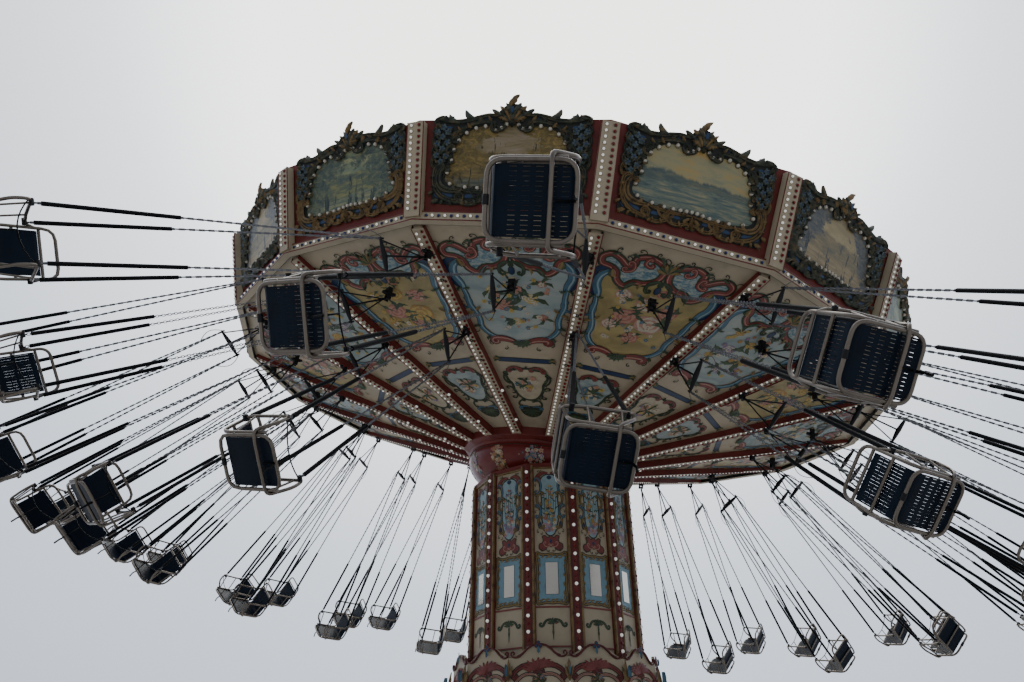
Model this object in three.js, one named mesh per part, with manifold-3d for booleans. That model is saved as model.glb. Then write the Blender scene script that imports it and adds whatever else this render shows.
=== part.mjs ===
// Chair swing ride: a fixed drum, a column that rises out of it, a head that tilts,
// and a sixteen-sided canopy that turns and carries three rings of swings.
// Millimetres, +Z up, origin on the ground at the middle of the base.
// Angles are in degrees, measured from -Y towards +X as seen from above.

import * as THREE from 'three';
import { mergeVertices } from 'three/addons/utils/BufferGeometryUtils.js';
import Module from 'manifold-3d';

const wasm = await Module();
wasm.setup();

// Driving dimensions
const SEAT_GAP = 0.3;                 // gap between pieces that touch
const SECTORS = 16;                   // canopy sides
const RIM_RADIUS = 5500;              // corner radius of the canopy's lower rim
const CANOPY_PHASE = -61.0;           // angle of the first canopy corner
const BOARD_LOW = 60;                 // rim boards: foot above the rim plane
const BOARD_HEIGHT = 1113;
const BOARD_LEAN = 366;               // how far the boards lean out at the top
const BOARD_THICKNESS = 40;
const CARVING_HEIGHT = 330;           // crest above the boards
const SOFFIT_RADIUS = 1200;           // inner edge of the soffit
const SOFFIT_DROP = 1133;             // how far that edge lies below the rim plane
const SOFFIT_THICKNESS = 30;

const HEAD_HEIGHT = 7310;             // height of the tilt hinge above the ground
const HEAD_TO_RIM = 326;              // from the tilt hinge up to the rim plane
const TILT_ANGLE = 10.16;             // tilt of the canopy in its raised pose
const TILT_AXIS_ANGLE = 52.76;        // direction of the tilt hinge, from +X towards +Y

const TOWER_SIDES = 12;               // sides of the column and the drum
const COLUMN_RADIUS = 1285;           // corner radius of the column shell
const COLUMN_PHASE = 14.2;
const COLUMN_TOP = 5830;
const COLUMN_BOTTOM = 2500;
const SHELL_THICKNESS = 50;
const STRIP_WIDTH = 190;              // light strips on the column corners
const STRIP_DEPTH = 40;
const BAND_HEIGHT = 60;               // cornice and foot band of the column
const BAND_DEPTH = 30;

const DRUM_RADIUS = 1520;             // corner radius of the base drum
const DRUM_PHASE = 6.4;
const DRUM_THICKNESS = 60;
const DRUM_BOTTOM = 200;
const DRUM_VALLEY = 3030;             // height of the drum's top edge at its corners
const DRUM_CREST = 3200;              // height of the pediments at mid face
const BASE_RADIUS = 1900;

const LIFT_STROKE = 2100;             // how far the column sinks into the drum
const MAST_WIDTH = 760;               // fixed square mast, outside
const MAST_WALL = 30;
const MAST_TOP = 3100;
const INNER_MAST = MAST_WIDTH - 2 * MAST_WALL - 2 * SEAT_GAP;
const INNER_MAST_FOOT = DRUM_BOTTOM + LIFT_STROKE + 50;
const BRACE_HEIGHT = 5430;            // beams that carry the column shell on the mast
const BRACE_SIZE = 120;

const FORK_CLEAR = 300;               // half width between the fork's cheeks
const FORK_CHEEK = 60;
const FORK_DEPTH = 240;
const FORK_RISE = 100;                // above the tilt hinge
const FORK_DROP = 410;                // below the tilt hinge
const TRUNNION_RADIUS = 90;
const FLANGE_RADIUS = 620;            // turntable flange
const FLANGE_LOW = 150;
const FLANGE_HIGH = 210;
const HUB_HEIGHT = 300;
const HUB_BORE = 420;
const SPOKE_SIZE = 90;

const RIB_WIDTH = 110;
const RIB_DEPTH = 120;                // at the inner end, half that at the rim
const RIB_START = 1290;
const RIB_END = RIM_RADIUS - 70;

const PIVOT_DROP = 150;               // swing hinge below the soffit's underside
const PIN_HALF = 32;                  // half length of a swing's hinge pin
const PIN_SIZE = 36;
const CHEEK = 12;                     // thickness of a bracket's cheeks
const CHEEK_LENGTH = 60;
const SWING_LENGTH = 4100;            // hinge to the middle of the chair
const SPREADER_DROP = 600;            // hinge to the spreader bar
const SPREADER_HALF = 215;
const ROD = 24;                       // hanger rods and chains
const TUBE = 30;                      // chair frame tube
const CHAIR_HALF = 262;               // half width of the chair frame

// Rings of swings: hinge radius, sectors past a rib, mean angle from the vertical,
// and how much further out they fly at the high side of the wave
const RINGS = [
  { name: 'outer', radius: 5076, offset: 0, fling: 47, wave: 6 },
  { name: 'middle', radius: 4520, offset: 0.5, fling: 47, wave: 4 },
  { name: 'inner', radius: 3722, offset: 0, fling: 43, wave: 3 },
];
const WAVE_PHASE = 20;                // where the swings fly highest

// Swings that fly behind or ahead of their hinge: turn of the hinge in its swivel
const TRAILING = {
  swing_outer_01: -22,
  swing_outer_02: -30,
  swing_outer_03: -11,
  swing_outer_12: 9,
  swing_outer_13: 4,
  swing_outer_15: -5,
  swing_middle_01: -24,
  swing_middle_02: -10,
  swing_middle_13: 6,
  swing_middle_14: 6,
  swing_middle_15: 20,
  swing_inner_04: -3,
  swing_inner_06: 6,
  swing_inner_07: 6,
  swing_inner_12: -13,
  swing_inner_13: -10,
  swing_inner_14: -17,
  swing_inner_15: -15,
};

// Swings that fly further out than the wave of their ring
const FLUNG = {
  swing_outer_01: 6,
  swing_outer_02: 9,
  swing_outer_03: 2,
  swing_outer_08: 3,
  swing_outer_09: 2,
  swing_outer_13: 3,
  swing_outer_14: 6,
  swing_outer_15: 8,
  swing_middle_01: 5,
  swing_middle_02: 1,
  swing_middle_08: 1,
  swing_middle_14: 5,
  swing_inner_00: 2,
  swing_inner_06: 3,
  swing_inner_07: 2,
  swing_inner_14: 3,
  swing_inner_15: 5,
};

const rad = THREE.MathUtils.degToRad;

// Colours and finishes
function paint(name, color, roughness, metalness = 0) {
  const material = new THREE.MeshStandardMaterial({ color, roughness, metalness });
  material.name = name;
  return material;
}

const CREAM = paint('cream_paint', 0xd8cba4, 0.55);
const RED = paint('red_paint', 0x7a1512, 0.35);
const STEEL = paint('dark_steel', 0x24262a, 0.5, 0.8);
const GILT = paint('gilt_paint', 0x6f5a2c, 0.45, 0.3);
const GREY = paint('grey_paint', 0x8b8d90, 0.6);
const CHAIR = paint('chair_steel', 0x8f8a84, 0.4, 0.6);

// Turns a geometry into a solid for joining
function solid(geometry) {
  const bare = geometry.clone();
  bare.deleteAttribute('normal');
  bare.deleteAttribute('uv');
  const merged = mergeVertices(bare, 1e-3);
  const vertProperties = new Float32Array(merged.attributes.position.array);
  const triVerts = new Uint32Array(merged.index.array);
  return new wasm.Manifold(new wasm.Mesh({ numProp: 3, vertProperties, triVerts }));
}

// Joins geometries into one closed body
function join(geometries) {
  let body = solid(geometries[0]);
  for (const geometry of geometries.slice(1)) body = body.add(solid(geometry));
  const mesh = body.getMesh();
  const joined = new THREE.BufferGeometry();
  joined.setAttribute('position', new THREE.BufferAttribute(new Float32Array(mesh.vertProperties), 3));
  joined.setIndex(new THREE.BufferAttribute(new Uint32Array(mesh.triVerts), 1));
  joined.computeVertexNormals();
  return joined;
}

// A closed profile of [radius, height] points turned about Z, with flat sides.
// The profile runs anticlockwise, with radius to the right and height up.
function turned(profile, sides, phase = 0) {
  const points = [...profile, profile[0]].map(([r, z]) => new THREE.Vector2(r, z));
  const geometry = new THREE.LatheGeometry(points, sides, rad(phase));
  geometry.rotateX(Math.PI / 2);
  return geometry;
}

// An anticlockwise outline of [x, y] points pulled along +Z, with optional holes
function pulled(outline, depth, holes = []) {
  const shape = new THREE.Shape(outline.map(([x, y]) => new THREE.Vector2(x, y)));
  for (const hole of holes) shape.holes.push(new THREE.Path(hole.map(([x, y]) => new THREE.Vector2(x, y))));
  return new THREE.ExtrudeGeometry(shape, { depth, bevelEnabled: false, steps: 1 });
}

// An outline in the plane of +X (or +Y) and +Z, pulled evenly to both sides
function uprightX(outline, width, holes = []) {
  const geometry = pulled(outline, width, holes);
  geometry.translate(0, 0, -width / 2);
  geometry.rotateX(Math.PI / 2);
  return geometry;
}

function uprightY(outline, width, holes = []) {
  const geometry = uprightX(outline, width, holes);
  geometry.rotateZ(Math.PI / 2);
  return geometry;
}

function block(width, depth, low, high, x = 0, y = 0) {
  const geometry = new THREE.BoxGeometry(width, depth, high - low);
  geometry.translate(x, y, (low + high) / 2);
  return geometry;
}

// An outline round the origin, pulled from one point to another
function between(start, end, outline) {
  const along = new THREE.Vector3(...end).sub(new THREE.Vector3(...start));
  const geometry = pulled(outline, along.length());
  const turn = new THREE.Quaternion().setFromUnitVectors(new THREE.Vector3(0, 0, 1), along.normalize());
  geometry.applyQuaternion(turn);
  geometry.translate(...start);
  return geometry;
}

const square = (half) => [[-half, -half], [half, -half], [half, half], [-half, half]];
const triangle = (size) => [[-size / 2, -size * 0.3], [size / 2, -size * 0.3], [0, size * 0.6]];

// Copies of a geometry turned about Z, the first at an angle from -Y towards +X
function around(geometry, count, phase) {
  const copies = [];
  for (let i = 0; i < count; i += 1) {
    const copy = geometry.clone();
    copy.rotateZ(rad(phase + (360 / count) * i));
    copies.push(copy);
  }
  return copies;
}

const apothem = (radius, sides) => radius * Math.cos(Math.PI / sides);

// Height of the soffit's underside, from the rim plane, at a radius along a canopy corner
const soffitSlope = SOFFIT_DROP / (RIM_RADIUS - SOFFIT_RADIUS);
const soffitAt = (radius) => (radius - RIM_RADIUS) * soffitSlope;

// Where every swing hangs: hinge angle and height, its turn in the swivel, and its fling
// measured from the canopy's own axis
function hangings() {
  const list = [];
  for (const ring of RINGS) {
    for (let i = 0; i < SECTORS; i += 1) {
      const name = `swing_${ring.name}_${String(i).padStart(2, '0')}`;
      const angle = CANOPY_PHASE + (360 / SECTORS) * (i + ring.offset);
      const trail = TRAILING[name] ?? 0;
      const upright = ring.fling + ring.wave * Math.cos(rad(angle - WAVE_PHASE)) + (FLUNG[name] ?? 0);
      const fling = upright + TILT_ANGLE * Math.cos(rad(angle - TILT_AXIS_ANGLE));
      const height = soffitAt(ring.radius) - PIVOT_DROP;
      list.push({ name, ring, angle, trail, fling, height });
    }
  }
  return list;
}

const SWINGS = hangings();

// Base: a foot plate with the fixed square mast
function baseFrame() {
  const plateTop = DRUM_BOTTOM - SEAT_GAP;
  const foot = turned([[0, 0], [BASE_RADIUS, 0], [BASE_RADIUS, plateTop], [0, plateTop]], TOWER_SIDES, DRUM_PHASE);
  const rooted = DRUM_BOTTOM / 2;
  const mast = pulled(square(MAST_WIDTH / 2), MAST_TOP - rooted, [square(MAST_WIDTH / 2 - MAST_WALL)]);
  mast.translate(0, 0, rooted);
  mast.rotateZ(rad(TILT_AXIS_ANGLE));
  return join([foot, mast]);
}

// Drum round the base, with a pediment over each of its faces
function baseDrum() {
  const inner = DRUM_RADIUS - DRUM_THICKNESS;
  const profile = [[inner, DRUM_BOTTOM], [DRUM_RADIUS, DRUM_BOTTOM], [DRUM_RADIUS, DRUM_VALLEY], [inner, DRUM_VALLEY]];
  const shell = turned(profile, TOWER_SIDES, DRUM_PHASE);
  const half = DRUM_RADIUS * Math.sin(Math.PI / TOWER_SIDES) - 16;
  const rise = DRUM_CREST - DRUM_VALLEY;
  const outline = [[-half, -BAND_HEIGHT], [half, -BAND_HEIGHT], [half, 0], [half * 0.55, rise * 0.55],
    [half * 0.25, rise * 0.9], [0, rise], [-half * 0.25, rise * 0.9], [-half * 0.55, rise * 0.55], [-half, 0]];
  const pediment = uprightX(outline, DRUM_THICKNESS - 20);
  pediment.translate(0, -apothem(DRUM_RADIUS - DRUM_THICKNESS / 2, TOWER_SIDES), DRUM_VALLEY);
  return join([shell, ...around(pediment, TOWER_SIDES, DRUM_PHASE + 180 / TOWER_SIDES)]);
}

// Column: its shell, the inner mast that carries it, and the fork for the tilt hinge
function columnShell() {
  const inner = COLUMN_RADIUS - SHELL_THICKNESS;
  const profile = [[inner, COLUMN_BOTTOM], [COLUMN_RADIUS, COLUMN_BOTTOM], [COLUMN_RADIUS, COLUMN_TOP], [inner, COLUMN_TOP]];
  const shell = turned(profile, TOWER_SIDES, COLUMN_PHASE);
  const reach = 2 * apothem(COLUMN_RADIUS - SHELL_THICKNESS / 2, TOWER_SIDES);
  const braceLow = BRACE_HEIGHT - BRACE_SIZE / 2;
  const inside = [
    block(INNER_MAST, INNER_MAST, INNER_MAST_FOOT, HEAD_HEIGHT - 260),
    block(reach, BRACE_SIZE, braceLow, braceLow + BRACE_SIZE),
    block(BRACE_SIZE, reach, braceLow, braceLow + BRACE_SIZE),
  ];
  for (const side of [-1, 1]) {
    const x = side * (FORK_CLEAR + FORK_CHEEK / 2);
    inside.push(block(FORK_CHEEK, FORK_DEPTH, HEAD_HEIGHT - FORK_DROP, HEAD_HEIGHT + FORK_RISE, x));
  }
  for (const piece of inside) piece.rotateZ(rad(TILT_AXIS_ANGLE));
  return join([shell, ...inside]);
}

// Light strips over the column's corners, with a cornice and a foot band
function columnMouldings() {
  const face = COLUMN_RADIUS + SEAT_GAP;
  const band = (low) => turned([[face, low], [face + BAND_DEPTH, low], [face + BAND_DEPTH, low + BAND_HEIGHT],
    [face, low + BAND_HEIGHT]], TOWER_SIDES, COLUMN_PHASE);
  const half = STRIP_WIDTH / 2;
  const bend = half * Math.tan(Math.PI / TOWER_SIDES);
  const outline = [[-half, bend - STRIP_DEPTH], [0, -STRIP_DEPTH], [half, bend - STRIP_DEPTH], [half, bend], [0, 0],
    [-half, bend]];
  const inset = BAND_HEIGHT / 2;
  const strip = pulled(outline, COLUMN_TOP - COLUMN_BOTTOM - 2 * inset);
  strip.translate(0, -face, COLUMN_BOTTOM + inset);
  return join([band(COLUMN_TOP - BAND_HEIGHT), band(COLUMN_BOTTOM), ...around(strip, TOWER_SIDES, COLUMN_PHASE)]);
}

// Head: trunnion between the fork's cheeks, with the turntable flange above it
function tiltHead() {
  const trunnion = new THREE.CylinderGeometry(TRUNNION_RADIUS, TRUNNION_RADIUS, 2 * (FORK_CLEAR - SEAT_GAP), 16);
  trunnion.rotateZ(Math.PI / 2);
  const post = block(4 * TRUNNION_RADIUS, 4 * TRUNNION_RADIUS, -30, FLANGE_LOW + 30);
  const flange = turned([[0, FLANGE_LOW], [FLANGE_RADIUS, FLANGE_LOW], [FLANGE_RADIUS, FLANGE_HIGH], [0, FLANGE_HIGH]], 24);
  return join([trunnion, post, flange]);
}

// Canopy: all heights from here on are measured from the rim plane

const hubLow = FLANGE_HIGH - HEAD_TO_RIM + SEAT_GAP;
const ringLow = soffitAt(RIB_START) - RIB_DEPTH;

// Hub ring on the turntable, with spokes down to the ring that carries the ribs
function canopyFrame() {
  const hub = turned([[HUB_BORE, hubLow], [FLANGE_RADIUS, hubLow], [FLANGE_RADIUS, hubLow + HUB_HEIGHT],
    [HUB_BORE, hubLow + HUB_HEIGHT]], SECTORS, CANOPY_PHASE);
  const ringInner = SOFFIT_RADIUS - 60;
  const ringOuter = RIB_START - SEAT_GAP;
  const underSoffit = -SOFFIT_DROP - SEAT_GAP;
  const ring = turned([[ringInner, ringLow], [ringOuter, ringLow], [ringOuter, underSoffit], [ringInner, underSoffit]],
    SECTORS, CANOPY_PHASE);
  const spokeFoot = [SOFFIT_RADIUS - SPOKE_SIZE / 2, 0, ringLow + SPOKE_SIZE / 2];
  const spoke = between([FLANGE_RADIUS - 10, 0, hubLow + HUB_HEIGHT / 2], spokeFoot, square(SPOKE_SIZE / 2));
  return join([hub, ring, ...around(spoke, SECTORS / 2, CANOPY_PHASE - 90)]);
}

// An upturned U whose cheeks hold a swing's hinge pin
function bracket(top, swing) {
  const inside = PIN_HALF + SEAT_GAP;
  const outside = inside + CHEEK;
  const low = swing.height - 30;
  const crown = swing.height + 40;
  const outline = [[-outside, low], [-inside, low], [-inside, crown], [inside, crown], [inside, low], [outside, low],
    [outside, top], [-outside, top]];
  const geometry = uprightY(outline, CHEEK_LENGTH);
  geometry.rotateZ(rad(swing.trail));
  geometry.translate(swing.ring.radius, 0, 0);
  geometry.rotateZ(rad(swing.angle - 90));
  return geometry;
}

// Panelled soffit on its sixteen ribs, with a bracket for every swing
function soffit() {
  const deck = turned([[SOFFIT_RADIUS, -SOFFIT_DROP], [RIM_RADIUS, 0], [RIM_RADIUS, SOFFIT_THICKNESS],
    [SOFFIT_RADIUS, SOFFIT_THICKNESS - SOFFIT_DROP]], SECTORS, CANOPY_PHASE);
  const inDeck = SOFFIT_THICKNESS / 2;
  const start = soffitAt(RIB_START);
  const end = soffitAt(RIB_END);
  const rib = uprightX([[RIB_START, start - RIB_DEPTH], [RIB_END, end - RIB_DEPTH / 2], [RIB_END, end + inDeck],
    [RIB_START, start + inDeck]], RIB_WIDTH);
  const pieces = [deck, ...around(rib, SECTORS, CANOPY_PHASE - 90)];
  for (const swing of SWINGS) {
    const midPanel = swing.ring.offset > 0;
    const radius = midPanel ? swing.ring.radius / Math.cos(Math.PI / SECTORS) : swing.ring.radius;
    pieces.push(bracket(soffitAt(radius) + inDeck / 2, swing));
  }
  return join(pieces);
}

// Bowl under the hub: it bulges, then narrows to an open foot inside the column's top
function hubBowl() {
  const top = ringLow - SEAT_GAP;
  const outer = [[950, top - 590], [1130, top - 450], [1240, top - 300], [1275, top - 150], [1262, top - 60], [1270, top]];
  const inner = [[1215, top], [1215, top - 60], [1225, top - 150], [1190, top - 290], [1080, top - 430], [910, top - 580]];
  return turned([...outer, ...inner], 24);
}

// Painted boards that lean out round the rim
function rimBoards() {
  const base = RIM_RADIUS + SEAT_GAP;
  const top = BOARD_LOW + BOARD_HEIGHT;
  return turned([[base, BOARD_LOW], [base + BOARD_THICKNESS, BOARD_LOW], [base + BOARD_THICKNESS + BOARD_LEAN, top],
    [base + BOARD_LEAN, top]], SECTORS, CANOPY_PHASE);
}

// Lower rail of the rim, with a pilaster over every joint of the boards
function rimPilasters() {
  const inner = RIM_RADIUS + SEAT_GAP;
  const outer = inner + 90;
  const low = -70;
  const high = BOARD_LOW - SEAT_GAP;
  const rail = turned([[inner, low], [outer, low], [outer, high], [inner, high]], SECTORS, CANOPY_PHASE);
  const lean = BOARD_LEAN / BOARD_HEIGHT;
  const face = inner + BOARD_THICKNESS + 6;
  const depth = 95;
  const faceAt = (z) => face + lean * (z - BOARD_LOW);
  const top = BOARD_LOW + BOARD_HEIGHT + 50;
  const post = uprightX([[faceAt(0), 0], [faceAt(0) + depth, 0], [faceAt(top) + depth, top], [faceAt(top), top]], 215);
  return join([rail, ...around(post, SECTORS, CANOPY_PHASE - 90)]);
}

// Carved cresting along the top of the boards, with a flame over the middle of each
function rimCarvings() {
  const low = BOARD_LOW + BOARD_HEIGHT + SEAT_GAP;
  const base = RIM_RADIUS + BOARD_LEAN;
  const back = base - 20;
  const front = base + BOARD_THICKNESS;
  const rail = turned([[back, low], [front, low], [front, low + 60], [back, low + 60]], SECTORS, CANOPY_PHASE);
  const half = RIM_RADIUS * Math.sin(Math.PI / SECTORS) - 140;
  const outline = [[-half, 0], [half, 0], [half, 70], [half * 0.4, 160], [0, CARVING_HEIGHT], [-half * 0.4, 160],
    [-half, 70]];
  const crest = uprightX(outline, 36);
  crest.rotateX(Math.atan2(BOARD_LEAN, BOARD_HEIGHT));
  crest.translate(0, -apothem(base + 30, SECTORS), low + 14);
  return join([rail, ...around(crest, SECTORS, CANOPY_PHASE + 180 / SECTORS)]);
}

// Low cone over the soffit, hidden behind the boards from below
function roof() {
  const edge = RIM_RADIUS - 10;
  const low = soffitAt(edge) + SOFFIT_THICKNESS + SEAT_GAP;
  const peak = 1290;
  const profile = [[0, peak - 40], [700, 1050], [edge, low], [edge, low + 40], [700, 1090], [0, peak]];
  return turned(profile, SECTORS, CANOPY_PHASE);
}

// Swing, hanging straight down from its hinge: pin, hanger, four chains and the chair.
// +X is outwards from the ride, and the rider faces +Y.
function swing() {
  const drop = SPREADER_DROP;
  const end = SPREADER_HALF + 16;
  const hanger = uprightX([[-14, 6], [-14, -drop], [-end, -drop - 4], [-end, -drop - 30], [end, -drop - 30],
    [end, -drop - 4], [14, -drop], [14, 6]], TUBE);
  const pieces = [block(PIN_SIZE, 2 * PIN_HALF, -PIN_SIZE / 2, PIN_SIZE / 2), hanger];

  const seat = -SWING_LENGTH;
  const arm = seat + 78;
  const pan = seat - 235;
  const outline = [[-245, arm], [-262, seat + 300], [-300, seat + 300], [-265, pan], [265, pan], [265, arm]];
  const opening = [[-240, arm - TUBE - 2], [-225, pan + 45], [235, pan + 45], [235, arm - TUBE - 2]];
  for (const side of [-1, 1]) {
    for (const way of [-1, 1]) {
      const hook = [side * SPREADER_HALF, way * 4, -drop - 16];
      pieces.push(between(hook, [side * CHAIR_HALF, way * 215, arm - 14], triangle(ROD)));
    }
    const frame = uprightY(outline, TUBE, [opening]);
    frame.translate(side * CHAIR_HALF, 0, 0);
    pieces.push(frame);
  }
  const shell = uprightY([[-245, seat - 222], [250, seat - 222], [250, seat - 205], [-232, seat - 205],
    [-271, seat + 290], [-285, seat + 290]], 2 * CHAIR_HALF);
  pieces.push(shell);
  return join(pieces);
}

const group = new THREE.Group();

function add(parent, name, geometry, material) {
  const mesh = new THREE.Mesh(geometry, material);
  mesh.name = name;
  parent.add(mesh);
  return mesh;
}

add(group, 'base_frame', baseFrame(), GREY);
add(group, 'base_drum', baseDrum(), CREAM);
add(group, 'column_shell', columnShell(), CREAM);
add(group, 'column_mouldings', columnMouldings(), RED);

const head = new THREE.Group();
head.position.z = HEAD_HEIGHT;
const tiltAxis = new THREE.Vector3(Math.cos(rad(TILT_AXIS_ANGLE)), Math.sin(rad(TILT_AXIS_ANGLE)), 0);
head.quaternion.setFromAxisAngle(tiltAxis, rad(TILT_ANGLE));
group.add(head);
add(head, 'tilt_head', tiltHead(), STEEL).rotation.z = rad(TILT_AXIS_ANGLE);

const canopy = new THREE.Group();
canopy.position.z = HEAD_TO_RIM;
head.add(canopy);
add(canopy, 'canopy_frame', canopyFrame(), STEEL);
add(canopy, 'soffit', soffit(), CREAM);
add(canopy, 'hub_bowl', hubBowl(), RED);
add(canopy, 'rim_boards', rimBoards(), RED);
add(canopy, 'rim_pilasters', rimPilasters(), CREAM);
add(canopy, 'rim_carvings', rimCarvings(), GILT);
add(canopy, 'roof', roof(), GREY);

const swingGeometry = swing();
for (const { name, ring, angle, trail, fling, height } of SWINGS) {
  const hinge = new THREE.Group();
  hinge.position.set(ring.radius * Math.sin(rad(angle)), -ring.radius * Math.cos(rad(angle)), height);
  hinge.rotation.z = rad(angle + trail - 90);
  canopy.add(hinge);
  add(hinge, name, swingGeometry, CHAIR).rotation.y = -rad(fling);
}

export default group;
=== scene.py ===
# Looks of the chair swing ride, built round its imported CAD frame.
# Metres, +Z up, origin on the ground at the middle of the base.
# Angles are in degrees, measured from -Y towards +X as seen from above.

import math
import random

import bpy
import numpy as np
from mathutils import Matrix


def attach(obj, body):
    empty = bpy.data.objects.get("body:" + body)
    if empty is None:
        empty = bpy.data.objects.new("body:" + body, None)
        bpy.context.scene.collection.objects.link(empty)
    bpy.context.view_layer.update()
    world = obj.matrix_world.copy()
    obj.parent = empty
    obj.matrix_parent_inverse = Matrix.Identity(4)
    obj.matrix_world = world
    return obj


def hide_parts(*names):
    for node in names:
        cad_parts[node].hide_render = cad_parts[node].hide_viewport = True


# The ride's driving sizes
SECTORS = 16
SECTOR_ANGLE = 360 / SECTORS
CANOPY_PHASE = -61
RIM_RADIUS = 5.5
HEAD_HEIGHT = 7.31
HEAD_TO_RIM = 0.326
TILT_ANGLE = 10.16
TILT_AXIS_ANGLE = 52.76
SOFFIT_SLOPE = 1.133 / 4.3
BOARD_LOW = 0.06
BOARD_HEIGHT = 1.113
BOARD_LEAN = 0.366
BOARD_FACE_RADIUS = 5.5403
POST_WIDTH = 0.215
POST_LOW = -0.035
POST_HIGH = 1.14
RIB_START = 1.29
RIB_END = 5.43
RIB_PLATE = 0.17
HUB_SKIRT = 1.4
TOWER_SIDES = 12
TOWER_ANGLE = 360 / TOWER_SIDES
COLUMN_RADIUS = 1.285
COLUMN_PHASE = 14.2
COLUMN_BOTTOM = 2.5
COLUMN_TOP = 5.83
DRUM_RADIUS = 1.52
DRUM_PHASE = 6.4
PIVOT_DROP = 0.15
SWING_LENGTH = 4.1
SPREADER_DROP = 0.6
SPREADER_HALF = 0.215
CHAIR_HALF = 0.262
ARM_HALF = 0.284
ARM_RISE = 0.062
PAN_DROP = 0.232
# Each ring's flight, the swings that trail or fly further than the rest of it, and the ones near the camera
RINGS = {
    "outer": {"radius": 5.076, "offset": 0, "fling": 47, "wave": 6, "near": (3,),
              "trailing": {1: -22, 2: -30, 3: -11, 12: 9, 13: 4, 15: -5},
              "flung": {1: 6, 2: 9, 3: 2, 8: 3, 9: 2, 13: 3, 14: 6, 15: 8}},
    "middle": {"radius": 4.52, "offset": 0.5, "fling": 47, "wave": 4, "near": (1, 2, 3),
               "trailing": {1: -24, 2: -10, 13: 6, 14: 6, 15: 20},
               "flung": {1: 5, 2: 1, 8: 1, 14: 5}},
    "inner": {"radius": 3.722, "offset": 0, "fling": 43, "wave": 3, "near": (3, 4),
              "trailing": {4: -3, 6: 6, 7: 6, 12: -13, 13: -10, 14: -17, 15: -15},
              "flung": {0: 2, 6: 3, 7: 2, 14: 3, 15: 5}},
}
WAVE_PHASE = 20

# The camera, fitted to the photo
CAMERA_PLACE = (0, -11.5, 1.6)
CAMERA_LENS = 24.69
CAMERA_SENSOR = 36
CAMERA_PITCH = 32.336
CAMERA_YAW = 3.27

# The light: its strength, the height of its brightest direction and, by the angle from there, level and tint
SKY_STRENGTH = 3.2
BRIGHT_HEIGHT = 54
SKY_STOPS = [(110, 0.11, (0.8, 0.87, 1)), (90, 0.165, (0.8, 0.87, 1)), (70, 0.265, (0.74, 0.84, 1)),
             (45, 0.43, (0.8, 0.88, 1)), (30, 0.54, (0.9, 0.94, 1)), (15, 1.25, (1, 0.99, 0.96))]

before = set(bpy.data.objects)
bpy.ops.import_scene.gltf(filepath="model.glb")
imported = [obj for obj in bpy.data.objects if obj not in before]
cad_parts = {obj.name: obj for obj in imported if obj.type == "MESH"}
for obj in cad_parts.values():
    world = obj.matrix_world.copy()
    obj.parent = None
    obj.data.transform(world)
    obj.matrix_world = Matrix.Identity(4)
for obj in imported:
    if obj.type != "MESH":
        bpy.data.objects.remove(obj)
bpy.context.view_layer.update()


# Matrices

def move(x, y, z):
    matrix = np.eye(4)
    matrix[:3, 3] = (x, y, z)
    return matrix


def turn(degrees, axis=(0, 0, 1)):
    x, y, z = axis
    c, s = math.cos(math.radians(degrees)), math.sin(math.radians(degrees))
    matrix = np.eye(4)
    cross = np.array([[0, -z, y], [z, 0, -x], [-y, x, 0]])
    matrix[:3, :3] = np.eye(3) * c + cross * s + np.outer(axis, axis) * (1 - c)
    return matrix


def axes(origin, u, v, n):
    matrix = np.eye(4)
    matrix[:3] = np.column_stack([u, v, n, origin])
    return matrix


def sideways(angle):
    a = math.radians(angle)
    return np.array([math.cos(a), math.sin(a), 0])


def outward(angle):
    return sideways(angle - 90)


def upright(angle, radius, height=0):
    """Axes of a vertical face that looks outwards: u across, v up, n out of it."""
    return axes(outward(angle) * radius + UP * height, sideways(angle), UP, outward(angle))


UP = np.array([0, 0, 1.0])
CANOPY = move(0, 0, HEAD_HEIGHT) @ turn(TILT_ANGLE, sideways(TILT_AXIS_ANGLE)) @ move(0, 0, HEAD_TO_RIM)


# Shapes

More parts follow.
